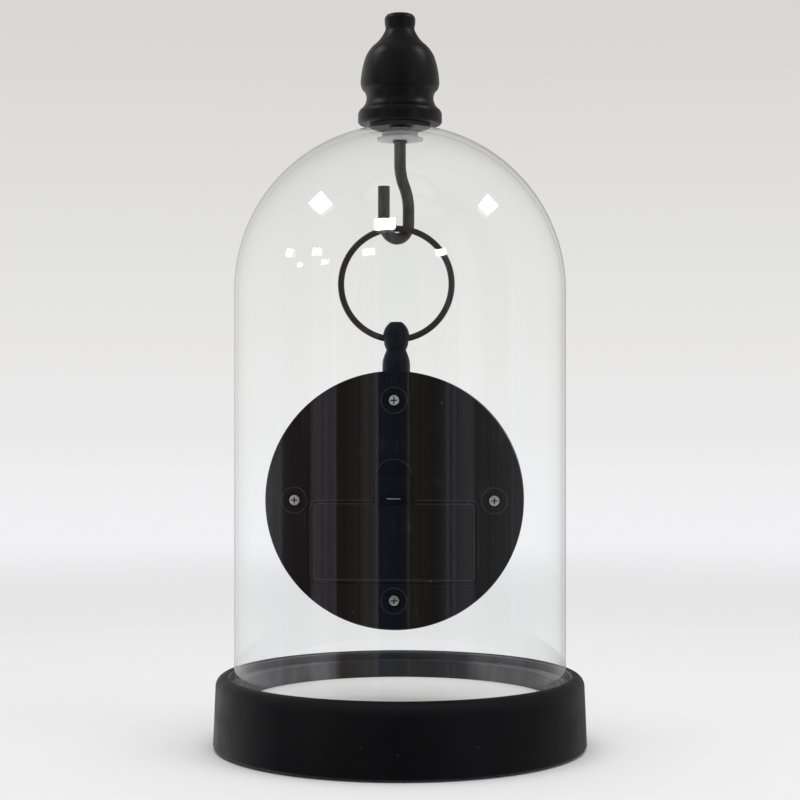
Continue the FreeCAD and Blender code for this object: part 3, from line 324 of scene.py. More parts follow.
def dial_enamel():
    """Warm cream dial, a little darker towards its edge, with fine paper-like mottling."""
    p = Paint("dial_cream", (0.80, 0.76, 0.66), Roughness=0.42)
    low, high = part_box("dial")
    middle = (low + high) / 2
    out = p.node("ShaderNodeVectorMath", {0: p.place(), 1: tuple(middle)}, operation="DISTANCE")
    edge = p.curve(out.outputs["Value"], DIAL_AGED_FROM, DIAL_AGED_TO)
    mottle = p.noise(130.0, 6.0, 0.7)
    age = p.curve(p.noise(40.0, 5.0, 0.7), 0.5, 0.75, 0.0, 0.5)
    base = p.mix(mottle, (0.77, 0.73, 0.63), (0.86, 0.83, 0.74))
    base = p.mix(p.math("MULTIPLY", edge, 0.55), base, (0.60, 0.51, 0.38))
    p.colour(p.mix(p.math("MULTIPLY", age, edge), base, (0.48, 0.38, 0.25)))
    p.bump(mottle, 0.08, 0.1 * MM)
    return p.material


def board():
    """Green circuit board with paler tracks."""
    p = Paint("board_green", (0.03, 0.16, 0.07), Roughness=0.4)
    tracks = p.lines(p.noise(160.0, 1.0, 0.2), 0.02)
    green = p.mix(p.noise(500.0), (0.02, 0.12, 0.05), (0.04, 0.20, 0.09))
    p.colour(p.mix(tracks, green, (0.20, 0.34, 0.12)))
    p.bump(tracks, 0.4, 0.05 * MM)
    return p.material


# Where the cell's copper band and its metal cap start, as shares of its length
SLEEVE_BAND, SLEEVE_CAP = 0.70, 0.965


def cell_sleeve():
    """Printed sleeve of the cell: dark body with a copper-coloured band at its positive end."""
    p = Paint("cell_sleeve", (0.03, 0.03, 0.035), Roughness=0.28)
    low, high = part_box("battery")
    along = p.curve(p.axis("X"), low.x, high.x)
    band = p.math("GREATER_THAN", along, SLEEVE_BAND)
    cap = p.math("GREATER_THAN", along, SLEEVE_CAP)
    wear = p.noise(600.0, 3.0, 0.6)
    dark = p.mix(wear, (0.02, 0.02, 0.024), (0.05, 0.05, 0.056))
    copper = p.mix(wear, (0.55, 0.27, 0.10), (0.68, 0.38, 0.17))
    p.colour(p.mix(cap, p.mix(band, dark, copper), (0.62, 0.62, 0.60)))
    p.put(p.shader.inputs["Metallic"], p.math("MULTIPLY", band, 0.85))
    p.bump(wear, 0.05, 0.1 * MM)
    return p.material


def wound_copper():
    """Copper wire laid turn by turn, as fine ridges along the coil."""
    p = Paint("copper", (0.72, 0.36, 0.18), Metallic=1.0, Roughness=0.3)
    turns = p.node("ShaderNodeTexWave", {"Vector": p.place(), "Scale": 900.0, "Distortion": 0.4},
                   bands_direction="X").outputs["Fac"]
    p.colour(p.mix(turns, (0.42, 0.18, 0.08), (0.80, 0.42, 0.22)))
    p.bump(turns, 0.6, 0.1 * MM)
    return p.material


MATERIALS = {
    # its tone adds a painted highlight to the rim and a painted reflection of the glass to the well
    "base_black": satin_paint("base_black", (0.0031, 0.0029, 0.0038), (0.011, 0.0105, 0.0115),
                              roughness=0.45, specular=0.17, tone=well_painted_reflection),
    "felt": felt(),
    "floor_white": white_card(),
    "clear_glass": blown_glass("clear_glass", mirror=1.0),
    "rubber_black": rubber(),
    "clear_plastic": clear_plastic(),
    "raw_steel": bare_metal("raw_steel", (0.20, 0.188, 0.176), (0.05, 0.045, 0.042), roughness=0.38,
                            grain=(1, 1, 0.1), scale=500.0, pitted=0.6, metallic=0.75),
    "finial_black": satin_paint("finial_black", (0.0020, 0.0020, 0.0026), (0.006, 0.006, 0.007),
                                roughness=0.35, specular=0.36),
    "brass": bare_metal("brass", (0.72, 0.53, 0.25), (0.42, 0.29, 0.12), roughness=0.3,
                        grain=(1, 1, 1), scale=600.0, pitted=0.2),
    "wire_black": satin_paint("wire_black", (0.016, 0.0145, 0.014), (0.060, 0.050, 0.042),
                              roughness=0.32, specular=0.5),
    "knob_black": satin_paint("knob_black", (0.0034, 0.0042, 0.0066), (0.014, 0.014, 0.017),
                              roughness=0.40, specular=0.3),
    "case_black": moulded_plastic("case_black", (0.0075, 0.0072, 0.0072), (0.05, 0.047, 0.044),
                                  roughness=0.34, specular=0.5),
    "cover_black": moulded_plastic("cover_black", (0.0028, 0.0026, 0.0027), (0.030, 0.028, 0.027),
                                   roughness=0.42, specular=0.15),
    "zinc": bare_metal("zinc", (0.86, 0.86, 0.83), (0.16, 0.155, 0.15), roughness=0.30,
                       grain=(1, 1, 1), scale=750.0, pitted=0.8, metallic=0.3),
    "dial_cream": dial_enamel(),
    "hand_black": satin_paint("hand_black", (0.010, 0.010, 0.011), (0.03, 0.03, 0.03),
                              roughness=0.3, specular=0.5),
    "movement_black": moulded_plastic("movement_black", (0.022, 0.022, 0.023), (0.06, 0.06, 0.06),
                                      roughness=0.45),
    "wheel_white": moulded_plastic("wheel_white", (0.72, 0.71, 0.67), (0.55, 0.54, 0.50),
                                   roughness=0.4, specular=0.5, grain=900.0, scuffs=False),
    "board_green": board(),
    "copper": wound_copper(),
    "soft_iron": bare_metal("soft_iron", (0.52, 0.51, 0.49), (0.22, 0.21, 0.20), roughness=0.3,
                            grain=(0.1, 1, 1)),
    "cell_sleeve": cell_sleeve(),
}


def dress_frame():
    """Gives each CAD node the finish of its material slot."""
    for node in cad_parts.values():
        for slot in node.material_slots:
            name = slot.material.name.split(".")[0]
            if name in MATERIALS:
                slot.material = MATERIALS[name]


# Meshes
def mesh_object(name, mesh):
    """New object of a bmesh, which is freed."""
    data = bpy.data.meshes.new(name)
    mesh.to_mesh(data)
    mesh.free()
    return link_new(name, data)


def finish_piece(obj, body, slot, material=None):
    """Gives a piece its material, which is that of its slot unless another is named, and its body."""
    obj.data.materials.append(material or MATERIALS[slot])
    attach(obj, body)
    return obj


def look_along_y(mesh, sign):
    """Turns the faces of a flat mesh to look up or down the Y axis."""
    for face in mesh.faces:
        face.normal_update()
        if face.normal.y * sign < 0:
            face.normal_flip()


def lathe(name, outline, segments):
    """Closed outline of (radius, height) turned about the upright axis, with smooth faces."""
    mesh = bmesh.new()
    rings = []
    for radius, height in outline:
        ring = []
        for step in range(segments):
            angle = 2 * math.pi * step / segments
            ring.append(mesh.verts.new((radius * math.cos(angle), radius * math.sin(angle), height)))
        rings.append(ring)
    for near, far in zip(rings, rings[1:] + rings[:1]):
        for step in range(segments):
            after = (step + 1) % segments
            mesh.faces.new((near[step], near[after], far[after], far[step]))
    bmesh.ops.recalc_face_normals(mesh, faces=mesh.faces)
    for face in mesh.faces:
        face.smooth = True
    return mesh_object(name, mesh)


# The dome: its wall is thin at the sides and grows to the crown's thickness at the top
GLASS_WALL, GLASS_CROWN = 1.6 * MM, 2.6 * MM
GLASS_HOLE = 4.6 * MM
GLASS_SEGMENTS = 320
LIP_STEPS, WALL_ROWS, CROWN_STEPS = 12, 40, 60
# How strongly the inner faces mirror, and the height above which faces that look down are inner ones
INNER_MIRROR = 0.22
INNER_FACES_ABOVE = 0.2


def wall(radius, low, high):
    """Points up a straight wall, without its ends."""
    return [(radius, low + (high - low) * row / WALL_ROWS) for row in range(1, WALL_ROWS)]


def crown(radius, centre_height, start, end, thicker=0.0):
    """Points round the crown, between angles in degrees from the upright, drawn in towards the top."""
    points = []
    for step in range(CROWN_STEPS + 1):
        angle = math.radians(start + (end - start) * step / CROWN_STEPS)
        reach = radius - thicker * math.cos(angle) ** 2
        points.append((reach * math.sin(angle), centre_height + reach * math.cos(angle)))
    return points


def glass_outline():
    """Outline of the dome: round its lower lip, up the outside to the hole and down the inside."""
    low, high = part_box("glass_dome")
    outer = (high.x - low.x) / 2
    inner = outer - GLASS_WALL
    crown_foot = high.z - math.sqrt(outer ** 2 - GLASS_HOLE ** 2)
    hole_out = math.degrees(math.asin(GLASS_HOLE / outer))
    hole_in = math.degrees(math.asin(GLASS_HOLE / (outer - GLASS_CROWN)))
    middle, lip = (outer + inner) / 2, GLASS_WALL / 2
    wall_foot = low.z + lip
    points = []
    for step in range(LIP_STEPS + 1):
        angle = math.pi + math.pi * step / LIP_STEPS
        points.append((middle + lip * math.cos(angle), wall_foot + lip * math.sin(angle)))
    points += wall(outer, wall_foot, crown_foot)
    points += crown(outer, crown_foot, 90, hole_out)
    points += crown(inner, crown_foot, hole_in, 90, GLASS_CROWN - GLASS_WALL)
    points += reversed(wall(inner, wall_foot, crown_foot))
    return points


def make_dome():
    """The clear dome, whose inner faces mirror less, so that each light has one clear image in it."""
    dome = finish_piece(lathe("glass_dome_clear", glass_outline(), GLASS_SEGMENTS), "dome", "clear_glass")
    dome.data.materials.append(blown_glass("clear_glass_inside", INNER_MIRROR))
    for face in dome.data.polygons:
        outward = face.normal.x * face.center.x + face.normal.y * face.center.y
        if outward < 0 or (face.normal.z < 0 and face.center.z > INNER_FACES_ABOVE):
            face.material_index = 1
    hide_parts("glass_dome")
    dome.visible_shadow = False
    dome.visible_glossy = False
    dome.visible_diffuse = False
    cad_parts["crystal"].visible_shadow = False
    return dome


# Painted shadow, highlight and shade lines on the clock's back, and a zinc glint in the latch, in millimetres
# across and up from its middle
LIFT = 0.02 * MM
door_low, door_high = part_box("battery_door")
DOOR_HALF = (door_high.x - door_low.x) / 2 / MM
DOOR_TOP, DOOR_BOTTOM, DOOR_CORNER = -0.8, -34.6, 2.2
DOOR_GAP = 0.3
LATCH_HALF = 8.2
SEAM_CLEAR, HIGHLIGHT_CLEAR = 0.6, 1.6
SEAM_END = -31.5
SEAM_WIDTH, EDGE_WIDTH = 0.5, 0.24
DOOR_EDGE_INSET, DOOR_EDGE_FOOT = 0.6, 1.4
CORNER_STEPS, SCOOP_STEPS, RING_STEPS = 6, 24, 36
SCREW_PITCH, SCREW_SINK = 42.0, 0.5
SCREW_RING_RADIUS, SCREW_RING_PROUD = 5.45, 0.25
CROSS_LENGTH, CROSS_WIDTH, CROSS_DEPTH = 2.8, 0.6, 0.3
SCOOP_RADIUS, SCOOP_RISE, SCOOP_START = 7.85, 9.5, 11.0
GLINT = [(-2.6, 0.45), (-0.9, 0.62), (0.2, 0.5), (3.2, 0.66)]
GLINT_WIDTH, GLINT_DEPTH = 0.4, 3.05


def back_of_clock():
    """Middle of the clock's back, on the outer face of the door."""
    low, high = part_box("rear_cover")
    return Vector(((low.x + high.x) / 2, door_high.y, (low.z + high.z) / 2))


# Material for the thin painted shadow, highlight and shade lines, unevenly strong along them
def edge_material(name, colour, rough, specular):
    p = Paint(name, colour, Specular_IOR_Level=specular)
    worn = p.noise(90.0, 4.0, 0.65)
    p.colour(p.mix(worn, shade(colour, 0.55), shade(colour, 1.4)))
    p.rough(worn, rough - 0.1, rough + 0.1)
    return p.material


def ribbon(name, path, width, depth, body, material, slot, closed=False):
    """Flat ribbon along a path on the clock's back, this deep under its face."""
    middle = back_of_clock()
    mesh = bmesh.new()
    edges = []
    count = len(path)
    for index, (u, v) in enumerate(path):
        before = path[index - 1] if index or closed else path[0]
        after = path[(index + 1) % count] if index < count - 1 or closed else path[-1]
        along = Vector((after[0] - before[0], after[1] - before[1])).normalized()
        side = Vector((-along.y, along.x)) * (width / 2)
        edges.append([mesh.verts.new((middle.x + (u + s * side.x) * MM, middle.y - depth * MM + LIFT,
                                      middle.z + (v + s * side.y) * MM)) for s in (-1, 1)])
    for index in range(count if closed else count - 1):
        near, far = edges[index], edges[(index + 1) % count]
        mesh.faces.new((near[0], near[1], far[1], far[0]))
    look_along_y(mesh, 1)
    return finish_piece(mesh_object(name, mesh), body, slot, material)


def round_path(u, v, radius, start, end, steps=CORNER_STEPS):
    """Arc about a place, between two angles in degrees."""
    angles = [math.radians(start + (end - start) * step / steps) for step in range(steps + 1)]
    return [(u + radius * math.cos(angle), v + radius * math.sin(angle)) for angle in angles]


def door_edge_path():
    """Rounded rectangle just inside the door's edge, open over the latch."""
    half, top, low = DOOR_HALF - DOOR_EDGE_INSET, DOOR_TOP - DOOR_EDGE_INSET, DOOR_BOTTOM + DOOR_EDGE_FOOT
    radius = DOOR_CORNER - DOOR_EDGE_INSET
    gap = LATCH_HALF + SEAM_CLEAR
    right = [(gap, top)]
    right += round_path(half - radius, top - radius, radius, 90, 0)
    right += round_path(half - radius, low + radius, radius, 0, -90)
    left = [(-u, v) for u, v in reversed(right)]
    return right + left


def seam_path(side, grow, gap):
    """One side of the seam round the door: from the latch to the corner and down, clear of the hinge."""
    half, top = DOOR_HALF + grow, DOOR_TOP + grow
    radius = DOOR_CORNER + grow
    path = [(gap, top)] + round_path(half - radius, top - radius, radius, 90, 0) + [(half, SEAM_END)]
    return [(side * u, v) for u, v in path]


def dress_screw(number, u, v, catch, grime):
    """Painted highlight ring round a screw's counterbore, and painted shade in its cross."""
    # painted highlight ring round the counterbore
    ring = round_path(u, v, SCREW_RING_RADIUS, 0, 360, RING_STEPS)[:-1]
    ribbon("screw_ring_highlight_%d" % number, ring, EDGE_WIDTH, -SCREW_RING_PROUD, "clock", catch, "cover_black",
           closed=True)
    # painted shade in the cross recess
    for turn, (du, dv) in enumerate([(CROSS_LENGTH / 2, 0), (0, CROSS_LENGTH / 2)]):
        ribbon("screw_cross_shade_%d_%d" % (number, turn), [(u - du, v - dv), (u + du, v + dv)], CROSS_WIDTH,
               SCREW_SINK + CROSS_DEPTH, "clock", grime, "zinc")


def dress_back():
    """Thin lines where edges catch or lose the light: painted shadow in the door seam, painted highlights
    beside the seam, on the door's edge, round the screws and on the scoop, painted shade in the screws'
    crosses, and a zinc glint in the latch.
    """
    # painted shadow for the door seam
    painted_seam_shadow = edge_material("seam_shadow", (0.0009, 0.0009, 0.001), 0.7, 0.05)
    # painted highlight for edges, screw rings and the scoop
    catch = edge_material("edge_catch", (0.042, 0.040, 0.040), 0.4, 0.3)
    # painted shade for the screws' crosses
    grime = edge_material("recess_painted_shade", (0.022, 0.020, 0.018), 0.8, 0.1)
    seam_out, edge_out = DOOR_GAP + SEAM_WIDTH / 2, DOOR_GAP + SEAM_WIDTH + EDGE_WIDTH / 2
    for name, side in (("right", 1), ("left", -1)):
        # painted shadow: a near-black strip along each side of the door seam
        ribbon("door_seam_painted_shadow_" + name, seam_path(side, seam_out, LATCH_HALF + SEAM_CLEAR), SEAM_WIDTH, 0,
               "clock", painted_seam_shadow, "cover_black")
        # painted highlight: a lighter strip just outside the seam
        ribbon("seam_edge_" + name, seam_path(side, edge_out, LATCH_HALF + HIGHLIGHT_CLEAR), EDGE_WIDTH, 0,
               "clock", catch, "cover_black")
    # painted highlight just inside the door's edge
    ribbon("door_edge_highlight", door_edge_path(), EDGE_WIDTH, 0, "battery_door", catch, "cover_black")
    # painted highlight along the scoop's edge
    scoop = round_path(0, SCOOP_RISE, SCOOP_RADIUS, SCOOP_START, 180 - SCOOP_START, SCOOP_STEPS)
    ribbon("scoop_edge_highlight", scoop, EDGE_WIDTH, 0, "clock", catch, "cover_black")
    ribbon("latch_glint", GLINT, GLINT_WIDTH, GLINT_DEPTH, "battery_door", MATERIALS["zinc"], "zinc")
    screws = [(0, SCREW_PITCH), (SCREW_PITCH, 0), (0, -SCREW_PITCH), (-SCREW_PITCH, 0)]
    for number, (u, v) in enumerate(screws):
        dress_screw(number, u, v, catch, grime)


# The dial's print. Letters are drawn in a box one high and then scaled, and numerals longer than the longest
# allowed are squeezed
PRINT_LIFT = 0.04 * MM
NUMERAL_RADIUS, NUMERAL_HEIGHT = 35.2 * MM, 8.6 * MM
NUMERAL_SPREAD, NUMERAL_LONGEST = 0.86, 2.25
TRACK_INNER, TRACK_OUTER = 42.4 * MM, 44.9 * MM
INNER_RING, LINE_WIDTH, LINE_STEPS = 27.5 * MM, 0.25 * MM, 240
HOUR_TICK_HALF, MINUTE_TICK_HALF = 0.55 * MM, 0.13 * MM
ROMAN = ["XII", "I", "II", "III", "IIII", "V", "VI", "VII", "VIII", "IX", "X", "XI"]
STEM, HAIR, SERIF = 0.20, 0.07, 0.05
WIDTHS = {"I": 0.42, "V": 0.92, "X": 0.92}
SIDE_ROOM = 0.12
V_TAPER, V_HAIR_FOOT = 0.8, 0.03
I_SERIF, V_SERIFS, X_SERIFS = 0.40, (0.36, 0.28), (0.34, 0.30)


def bar(x0, x1, width0, width1=None):
    """Slanted bar from the foot, at x0, to the head, at x1, as a polygon."""
    half0, half1 = width0 / 2, (width1 or width0) / 2
    return [(x0 - half0, 0), (x0 + half0, 0), (x1 + half1, 1), (x1 - half1, 1)]


def serif(x, width, high):
    y = 1 - SERIF if high else 0
    return [(x - width / 2, y), (x + width / 2, y), (x + width / 2, y + SERIF), (x - width / 2, y + SERIF)]


def letter(kind):
    """Polygons of one Roman letter, in a box of its width by 1, centred across."""
    reach = WIDTHS[kind] / 2 - SIDE_ROOM
    if kind == "I":
        return [bar(0, 0, STEM), serif(0, I_SERIF, False), serif(0, I_SERIF, True)]
    if kind == "V":
        thick, thin = V_SERIFS
        return [bar(0, -reach, STEM * V_TAPER, STEM), bar(V_HAIR_FOOT, reach, HAIR),
                serif(-reach, thick, True), serif(reach, thin, True)]
    thick, thin = X_SERIFS
    return [bar(reach, -reach, STEM), bar(-reach, reach, HAIR), serif(-reach, thin, False),
            serif(reach, thick, False), serif(-reach, thick, True), serif(reach, thin, True)]


def print_vertex(mesh, middle, angle, across, out):
    """Vertex across and out from the dial's middle, turned clockwise by an angle."""
    x = across * math.cos(angle) + out * math.sin(angle)
    z = out * math.cos(angle) - across * math.sin(angle)
    return mesh.verts.new(middle + Vector((x, 0, z)))


def print_face(mesh, middle, angle, corners):
    mesh.faces.new([print_vertex(mesh, middle, angle, across, out) for across, out in corners])


def print_numerals(mesh, middle):
    for hour, text in enumerate(ROMAN):
        total = sum(WIDTHS[c] for c in text)
        wide = min(1.0, NUMERAL_LONGEST / total) * NUMERAL_HEIGHT * NUMERAL_SPREAD
        at = -total / 2
        for c in text:
            centre = at + WIDTHS[c] / 2
            at += WIDTHS[c]
            for shape in letter(c):
                corners = [((centre + x) * wide, NUMERAL_RADIUS + (y - 0.5) * NUMERAL_HEIGHT)
                           for x, y in shape]
                print_face(mesh, middle, math.radians(30 * hour), corners)


def print_ring(mesh, middle, radius):
    rings = []
    for out in (radius, radius + LINE_WIDTH):
        rings.append([print_vertex(mesh, middle, 2 * math.pi * step / LINE_STEPS, 0, out)
                      for step in range(LINE_STEPS)])
    for step in range(LINE_STEPS):
        after = (step + 1) % LINE_STEPS
        mesh.faces.new((rings[0][step], rings[0][after], rings[1][after], rings[1][step]))


def print_ticks(mesh, middle):
    for minute in range(60):
        half = HOUR_TICK_HALF if minute % 5 == 0 else MINUTE_TICK_HALF
        corners = [(-half, TRACK_INNER), (half, TRACK_INNER), (half, TRACK_OUTER), (-half, TRACK_OUTER)]
        print_face(mesh, middle, math.radians(6 * minute), corners)


def make_dial_print():
    low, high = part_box("dial")
    middle = Vector(((low.x + high.x) / 2, low.y - PRINT_LIFT, (low.z + high.z) / 2))
    mesh = bmesh.new()
    print_numerals(mesh, middle)
    for radius in (TRACK_INNER - LINE_WIDTH, TRACK_OUTER, INNER_RING):
        print_ring(mesh, middle, radius)
    print_ticks(mesh, middle)
    look_along_y(mesh, -1)
    finish_piece(mesh_object("dial_print", mesh), "clock", "hand_black")


# Studio levels, as linear light. The sky's colour goes by the height of the direction
SKY_STOPS = [(0.000, 0.833, 0.822, 0.826), (0.040, 0.800, 0.796, 0.786), (0.090, 0.762, 0.758, 0.745),
             (0.150, 0.725, 0.718, 0.700), (0.205, 0.690, 0.680, 0.660), (0.420, 0.600, 0.592, 0.575)]
AMBIENT = (0.47, 0.47, 0.4747)
THROUGH_GLASS = 1.08
FLOOR_COLOUR, FLOOR_FAR = (0.84, 0.835, 0.84), (0.875, 0.872, 0.886)
FLOOR_RADIUS, FLOOR_SEGMENTS, FLOOR_DROP = 14.0, 96, 0.05 * MM
FLOOR_BLEND_START, FLOOR_BLEND_END = 0.42, 1.15
FLOOR_FADE_START, FLOOR_FADE_END = 1.5, 7.0

# What the dark side of the studio shows to gloss, by degrees round from the camera to the picture's right, as
# bands with soft or hard edges
DARK_BANDS = [
    # wall, falling off to a dark shelf
    (-120, 0.60, 0.60, 0.62), (-100, 0.52, 0.52, 0.58), (-88, 0.46, 0.47, 0.53),
    (-85, 0.16, 0.14, 0.14), (-63, 0.13, 0.11, 0.11),
    # wall, and a brown curtain that lets more and more light through
    (-62, 0.52, 0.49, 0.53), (-44, 0.48, 0.45, 0.48),
    (-43, 0.13, 0.095, 0.075), (-27, 0.20, 0.165, 0.13), (-25, 0.34, 0.31, 0.29), (-17, 0.36, 0.34, 0.34),
    # narrow bright gap, and the darkest part round the camera, blue at its left edge
    (-16, 0.62, 0.62, 0.62), (-14.6, 0.60, 0.60, 0.62),
    (-14.2, 0.05, 0.08, 0.23), (-7, 0.045, 0.07, 0.14), (4.6, 0.05, 0.055, 0.085),
    # narrow bright gap, and a dark brown cupboard
    (5, 0.52, 0.52, 0.50), (6, 0.48, 0.48, 0.46),
    (6.4, 0.19, 0.16, 0.13), (17, 0.15, 0.12, 0.095), (23, 0.11, 0.105, 0.105), (28, 0.16, 0.16, 0.17),
    # wall, a dim stretch, and wall
    (31, 0.40, 0.39, 0.42), (50, 0.48, 0.46, 0.50),
    (52, 0.24, 0.24, 0.25), (74, 0.30, 0.30, 0.31),
    (84, 0.46, 0.46, 0.48), (120, 0.60, 0.60, 0.62),
]
# Fine upright streaks on the bands
STREAK_SCALE, STREAK_DETAIL, STREAK_RANGE = 0.42, 4.0, (0.62, 1.38)
# Degrees from the camera at which the pale sky takes over, and at which it dims again, straight ahead
PALE_SIDE_START, PALE_SIDE_END = 98.0, 122.0
FAR_SIDE_START, FAR_SIDE_END, FAR_SIDE_LEVEL = 150.0, 170.0, 0.66
# Degrees to the right beyond which all is darker, and heights between which the dim ceiling starts
RIGHT_SIDE_START, RIGHT_SIDE_END, RIGHT_SIDE_LEVEL = 80.0, 100.0, 0.58
CEILING_START, CEILING_END, CEILING = 0.30, 0.72, (0.25, 0.249, 0.245)


def degrees_from_camera(w, direction):
    """Degrees round the upright axis from the side where the camera stands, to the right in the picture."""
    turned = w.node("ShaderNodeVectorRotate",
                    {"Vector": direction, "Angle": math.radians(90 - CAMERA_AZIMUTH)}, rotation_type="Z_AXIS")
    split = w.node("ShaderNodeSeparateXYZ", {"Vector": turned.outputs["Vector"]}).outputs
    return w.math("DEGREES", w.math("ARCTAN2", split["Y"], split["X"]))


def seen_by_gloss(w, sky, height, degrees):
    """The studio as gloss shows it: streaked dark bands on the camera's side and pale sky beyond them, with a
    dim ceiling and a darker right side."""
    streaks = w.node("ShaderNodeTexNoise", {"W": degrees, "Scale": STREAK_SCALE, "Detail": STREAK_DETAIL},
                     noise_dimensions="1D").outputs["Fac"]
    bands = w.scaled(w.ramp(DARK_BANDS, degrees), w.curve(streaks, NOISE_LOW, NOISE_HIGH, *STREAK_RANGE))
    away = w.math("ABSOLUTE", degrees)
    beyond = w.scaled(sky, w.curve(away, FAR_SIDE_START, FAR_SIDE_END, 1.0, FAR_SIDE_LEVEL))
    studio = w.mix(w.curve(away, PALE_SIDE_START, PALE_SIDE_END), bands, beyond)
    studio = w.mix(w.curve(height, CEILING_START, CEILING_END), studio, CEILING)
    return w.scaled(studio, w.curve(degrees, RIGHT_SIDE_START, RIGHT_SIDE_END, 1.0, RIGHT_SIDE_LEVEL))


def light_world():
    """Pale sky for the camera and through glass, the dark studio for gloss, an even level for the rest."""
    world = bpy.data.worlds.new("studio")
    bpy.context.scene.world = world
    world.use_nodes = True
    w = Nodes(world.node_tree)
    w.tree.nodes.clear()
    direction = w.node("ShaderNodeTexCoord").outputs["Generated"]
    height = w.node("ShaderNodeSeparateXYZ", {"Vector": direction}).outputs["Z"]
    sky = w.ramp(SKY_STOPS, height)
    studio = seen_by_gloss(w, sky, height, degrees_from_camera(w, direction))
    ray = w.node("ShaderNodeLightPath").outputs
    colour = w.mix(ray["Is Glossy Ray"], AMBIENT, studio)
    colour = w.mix(ray["Is Transmission Ray"], colour, w.scaled(sky, THROUGH_GLASS))
    colour = w.mix(ray["Is Camera Ray"], colour, sky)
    background = w.node("ShaderNodeBackground", {"Color": colour})
    w.node("ShaderNodeOutputWorld", {"Surface": background.outputs["Background"]})


def floor_paint():
    """Lit near the clock, where it keeps the shadow. Far out, what is seen of it has an even level."""
    p = Paint("floor_pale", FLOOR_COLOUR, Roughness=0.9, Specular_IOR_Level=0.1)
    out = p.from_axis()
    far = p.curve(out, FLOOR_BLEND_START, FLOOR_BLEND_END, interpolation_type="SMOOTHSTEP")
    ray = p.node("ShaderNodeLightPath").outputs
    seen = p.math("MAXIMUM", ray["Is Camera Ray"],
                  p.math("MAXIMUM", ray["Is Glossy Ray"], ray["Is Transmission Ray"]))
    pale = p.mix(p.curve(out, FLOOR_FADE_START, FLOOR_FADE_END), FLOOR_FAR, SKY_STOPS[0][1:])
    through = p.curve(ray["Is Transmission Ray"], 0.0, 1.0, 1.0, THROUGH_GLASS)
    glow = p.node("ShaderNodeEmission", {"Color": p.scaled(pale, through)})
    mixed = p.node("ShaderNodeMixShader", {0: p.math("MULTIPLY", far, seen), 1: p.shader.outputs[0],
                                           2: glow.outputs[0]})
    p.put(p.tree.nodes["Material Output"].inputs["Surface"], mixed.outputs[0])
    return p.material


def make_floor():
    mesh = bmesh.new()
    bmesh.ops.create_circle(mesh, cap_ends=True, radius=FLOOR_RADIUS, segments=FLOOR_SEGMENTS)
    floor = mesh_object("floor", mesh)
    floor.location.z = -FLOOR_DROP
    floor.data.materials.append(floor_paint())
    floor.visible_glossy = False


# Camera and lights
def camera_place():
    azimuth = math.radians(CAMERA_AZIMUTH)
    return Vector((CAMERA_DISTANCE * math.sin(azimuth), -CAMERA_DISTANCE * math.cos(azimuth), CAMERA_HEIGHT))


def make_camera():
    data = bpy.data.cameras.new("camera")
    data.lens = CAMERA_LENS
    data.sensor_width = SENSOR_WIDTH
    data.shift_y = CAMERA_SHIFT_Y
    data.clip_start, data.clip_end = CLIP_START, CLIP_END
    camera = link_new("camera", data)
    camera.location = camera_place()
    forward = Vector((-camera.location.x, -camera.location.y, 0))
    camera.rotation_mode = "QUATERNION"
    camera.rotation_quaternion = forward.to_track_quat("-Z", "Y")
    bpy.context.scene.camera = camera


# Lights for everything: place, aim and size in metres, and watts
STUDIO_LIGHTS = {"top": ((0.05, 0.1, 1.5), (0, 0, 0.05), 1.6, 17.0),
                 "side": ((-1.3, 0.5, 0.9), (0, 0, 0.15), 0.9, 3.0)}
# Soft boxes whose images in the dome are diamonds: across, up, half width and half height of the image in
# millimetres, and watts
DIAMONDS = [(-34.0, 231.3, 5.0, 5.3, 1.3), (37.6, 230.4, 4.6, 4.4, 1.0)]
# Bright cards that show in the dome: across and up in millimetres, width and height in metres, strength
CARDS = [
    (-6.5, 222.3, 0.23, 0.15, 70.0),
    (-47.1, 210.0, 0.11, 0.075, 18.0),
    (-35.6, 210.4, 0.12, 0.075, 20.0),
    (-13.4, 210.4, 0.14, 0.075, 22.0),
    (17.4, 210.2, 0.13, 0.08, 44.0),
    (-42.8, 204.8, 0.07, 0.035, 14.0),
    (-32.1, 206.0, 0.09, 0.045, 16.0),
]
CARD_ROLL = 0.12
MIRRORED_REACH = 1.0
# Soft panels high at both sides, whose sheen shows on the finial's shoulders
PANEL_OUT, PANEL_BACK, PANEL_UP = 0.97, -0.08, 1.30
PANEL_SIZE, PANEL_POWER = 0.5, 2.0


def area_light(name, place, target, width, height, power, roll=0.0, glossy=True):
    """Rectangular light at a place, aimed at a target, in metres and watts."""
    data = bpy.data.lights.new(name, "AREA")
    data.shape = "RECTANGLE"
    data.size = width
    data.size_y = height
    data.energy = power
    light = link_new(name, data)
    aim = (Vector(target) - Vector(place)).to_track_quat("-Z", "Y").to_matrix().to_4x4()
    light.matrix_world = Matrix.Translation(place) @ aim @ Matrix.Rotation(roll, 4, "Z")
    light.visible_glossy = glossy
    light.visible_camera = False
    return light


def lit_only(name, piece):
    """Collection of one piece, for lights that reach nothing else."""
    receivers = bpy.data.collections.new(name)
    receivers.objects.link(piece)
    return receivers


def first_hit(a, b, c):
    """How far along a ray its first hit is, as the smaller root of a quadratic."""
    return (-b - math.sqrt(max(0.0, b * b - 4 * a * c))) / (2 * a)


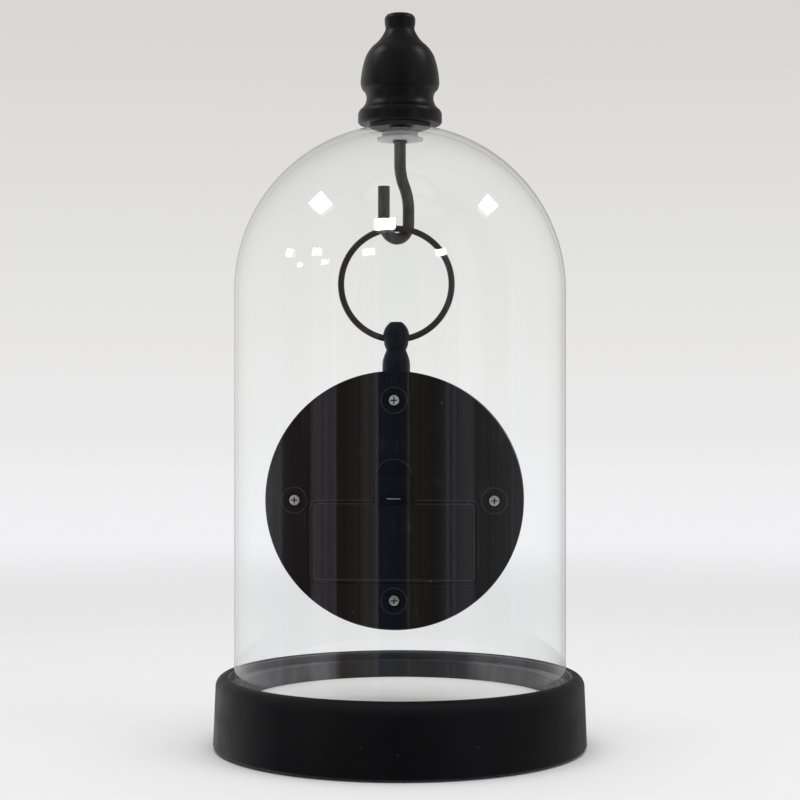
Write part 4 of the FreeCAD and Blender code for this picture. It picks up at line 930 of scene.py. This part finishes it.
def dome_reflection(x, y):
    """Where a light stands so that it mirrors in the dome at a place given as the camera sees it, in
    millimetres across and up from the foot of the axis. Also gives the place on the glass."""
    low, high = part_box("glass_dome")
    radius = (high.x - low.x) / 2
    centre = Vector((0, 0, high.z - radius))
    eye = camera_place()
    right = Vector((0, 0, 1)).cross(Vector((eye.x, eye.y, 0)).normalized())
    aim = right * (x * MM) + Vector((0, 0, y * MM))
    ray = (aim - eye).normalized()
    if aim.z > centre.z:
        # the crown, a sphere
        start = eye - centre
        hit = eye + ray * first_hit(1.0, 2 * ray.dot(start), start.length_squared - radius ** 2)
        normal = (hit - centre).normalized()
    else:
        # the straight wall, a cylinder
        flat, start = Vector((ray.x, ray.y)), Vector((eye.x, eye.y))
        to_wall = start.length_squared - radius ** 2
        hit = eye + ray * first_hit(flat.length_squared, 2 * flat.dot(start), to_wall)
        normal = Vector((hit.x, hit.y, 0)).normalized()
    away = ray - normal * (2 * ray.dot(normal))
    return hit + away * MIRRORED_REACH, hit


def diamond_box(x, y, half_width, half_height):
    """Width, height and roll of the soft box whose image in the dome is an upright diamond of this size."""
    place, hit = dome_reflection(x, y)
    facing = (hit - place).normalized()
    turn = facing.to_track_quat("-Z", "Y").to_matrix().transposed()

    def on_box(dx, dy):
        """Place in the plane of the box that mirrors this far beside the diamond's middle."""
        far, near = dome_reflection(x + dx, y + dy)
        ray = (far - near).normalized()
        spot = near + ray * ((place - near).dot(facing) / ray.dot(facing))
        return (turn @ (spot - place)).to_2d()

    across = (on_box(half_width, 0) - on_box(-half_width, 0)) / 2
    upward = (on_box(0, half_height) - on_box(0, -half_height)) / 2
    diagonal = 2 * math.sqrt(across.length * upward.length)
    half_angle = across.angle(upward) / 2
    side = across.normalized() + upward.normalized()
    return diagonal * math.cos(half_angle), diagonal * math.sin(half_angle), math.atan2(side.y, side.x)


def light_studio(dome):
    for name, (place, target, size, power) in STUDIO_LIGHTS.items():
        area_light(name, place, target, size, size, power, glossy=False)
    glass_only = lit_only("glass_only", dome)
    for number, (x, y, half_width, half_height, power) in enumerate(DIAMONDS):
        place, target = dome_reflection(x, y)
        width, height, roll = diamond_box(x, y, half_width, half_height)
        box = area_light("box_%d" % number, place, target, width, height, power, roll)
        box.light_linking.receiver_collection = glass_only
    for number, (x, y, width, height, strength) in enumerate(CARDS):
        place, target = dome_reflection(x, y)
        power = strength * width * height * math.pi
        card = area_light("card_%d" % number, place, target, width, height, power, CARD_ROLL)
        card.light_linking.receiver_collection = glass_only
    finial_only = lit_only("finial_only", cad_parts["finial"])
    target = (0, 0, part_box("finial")[1].z)
    for number, side in enumerate((1, -1)):
        place = (side * PANEL_OUT, PANEL_BACK, PANEL_UP)
        panel = area_light("panel_%d" % number, place, target, PANEL_SIZE, PANEL_SIZE, PANEL_POWER)
        panel.light_linking.receiver_collection = finial_only


def set_view():
    bpy.context.scene.view_settings.view_transform = "Standard"


make_camera()
dress_frame()
glass = make_dome()
make_dial_print()
dress_back()
light_world()
make_floor()
light_studio(glass)
set_view()
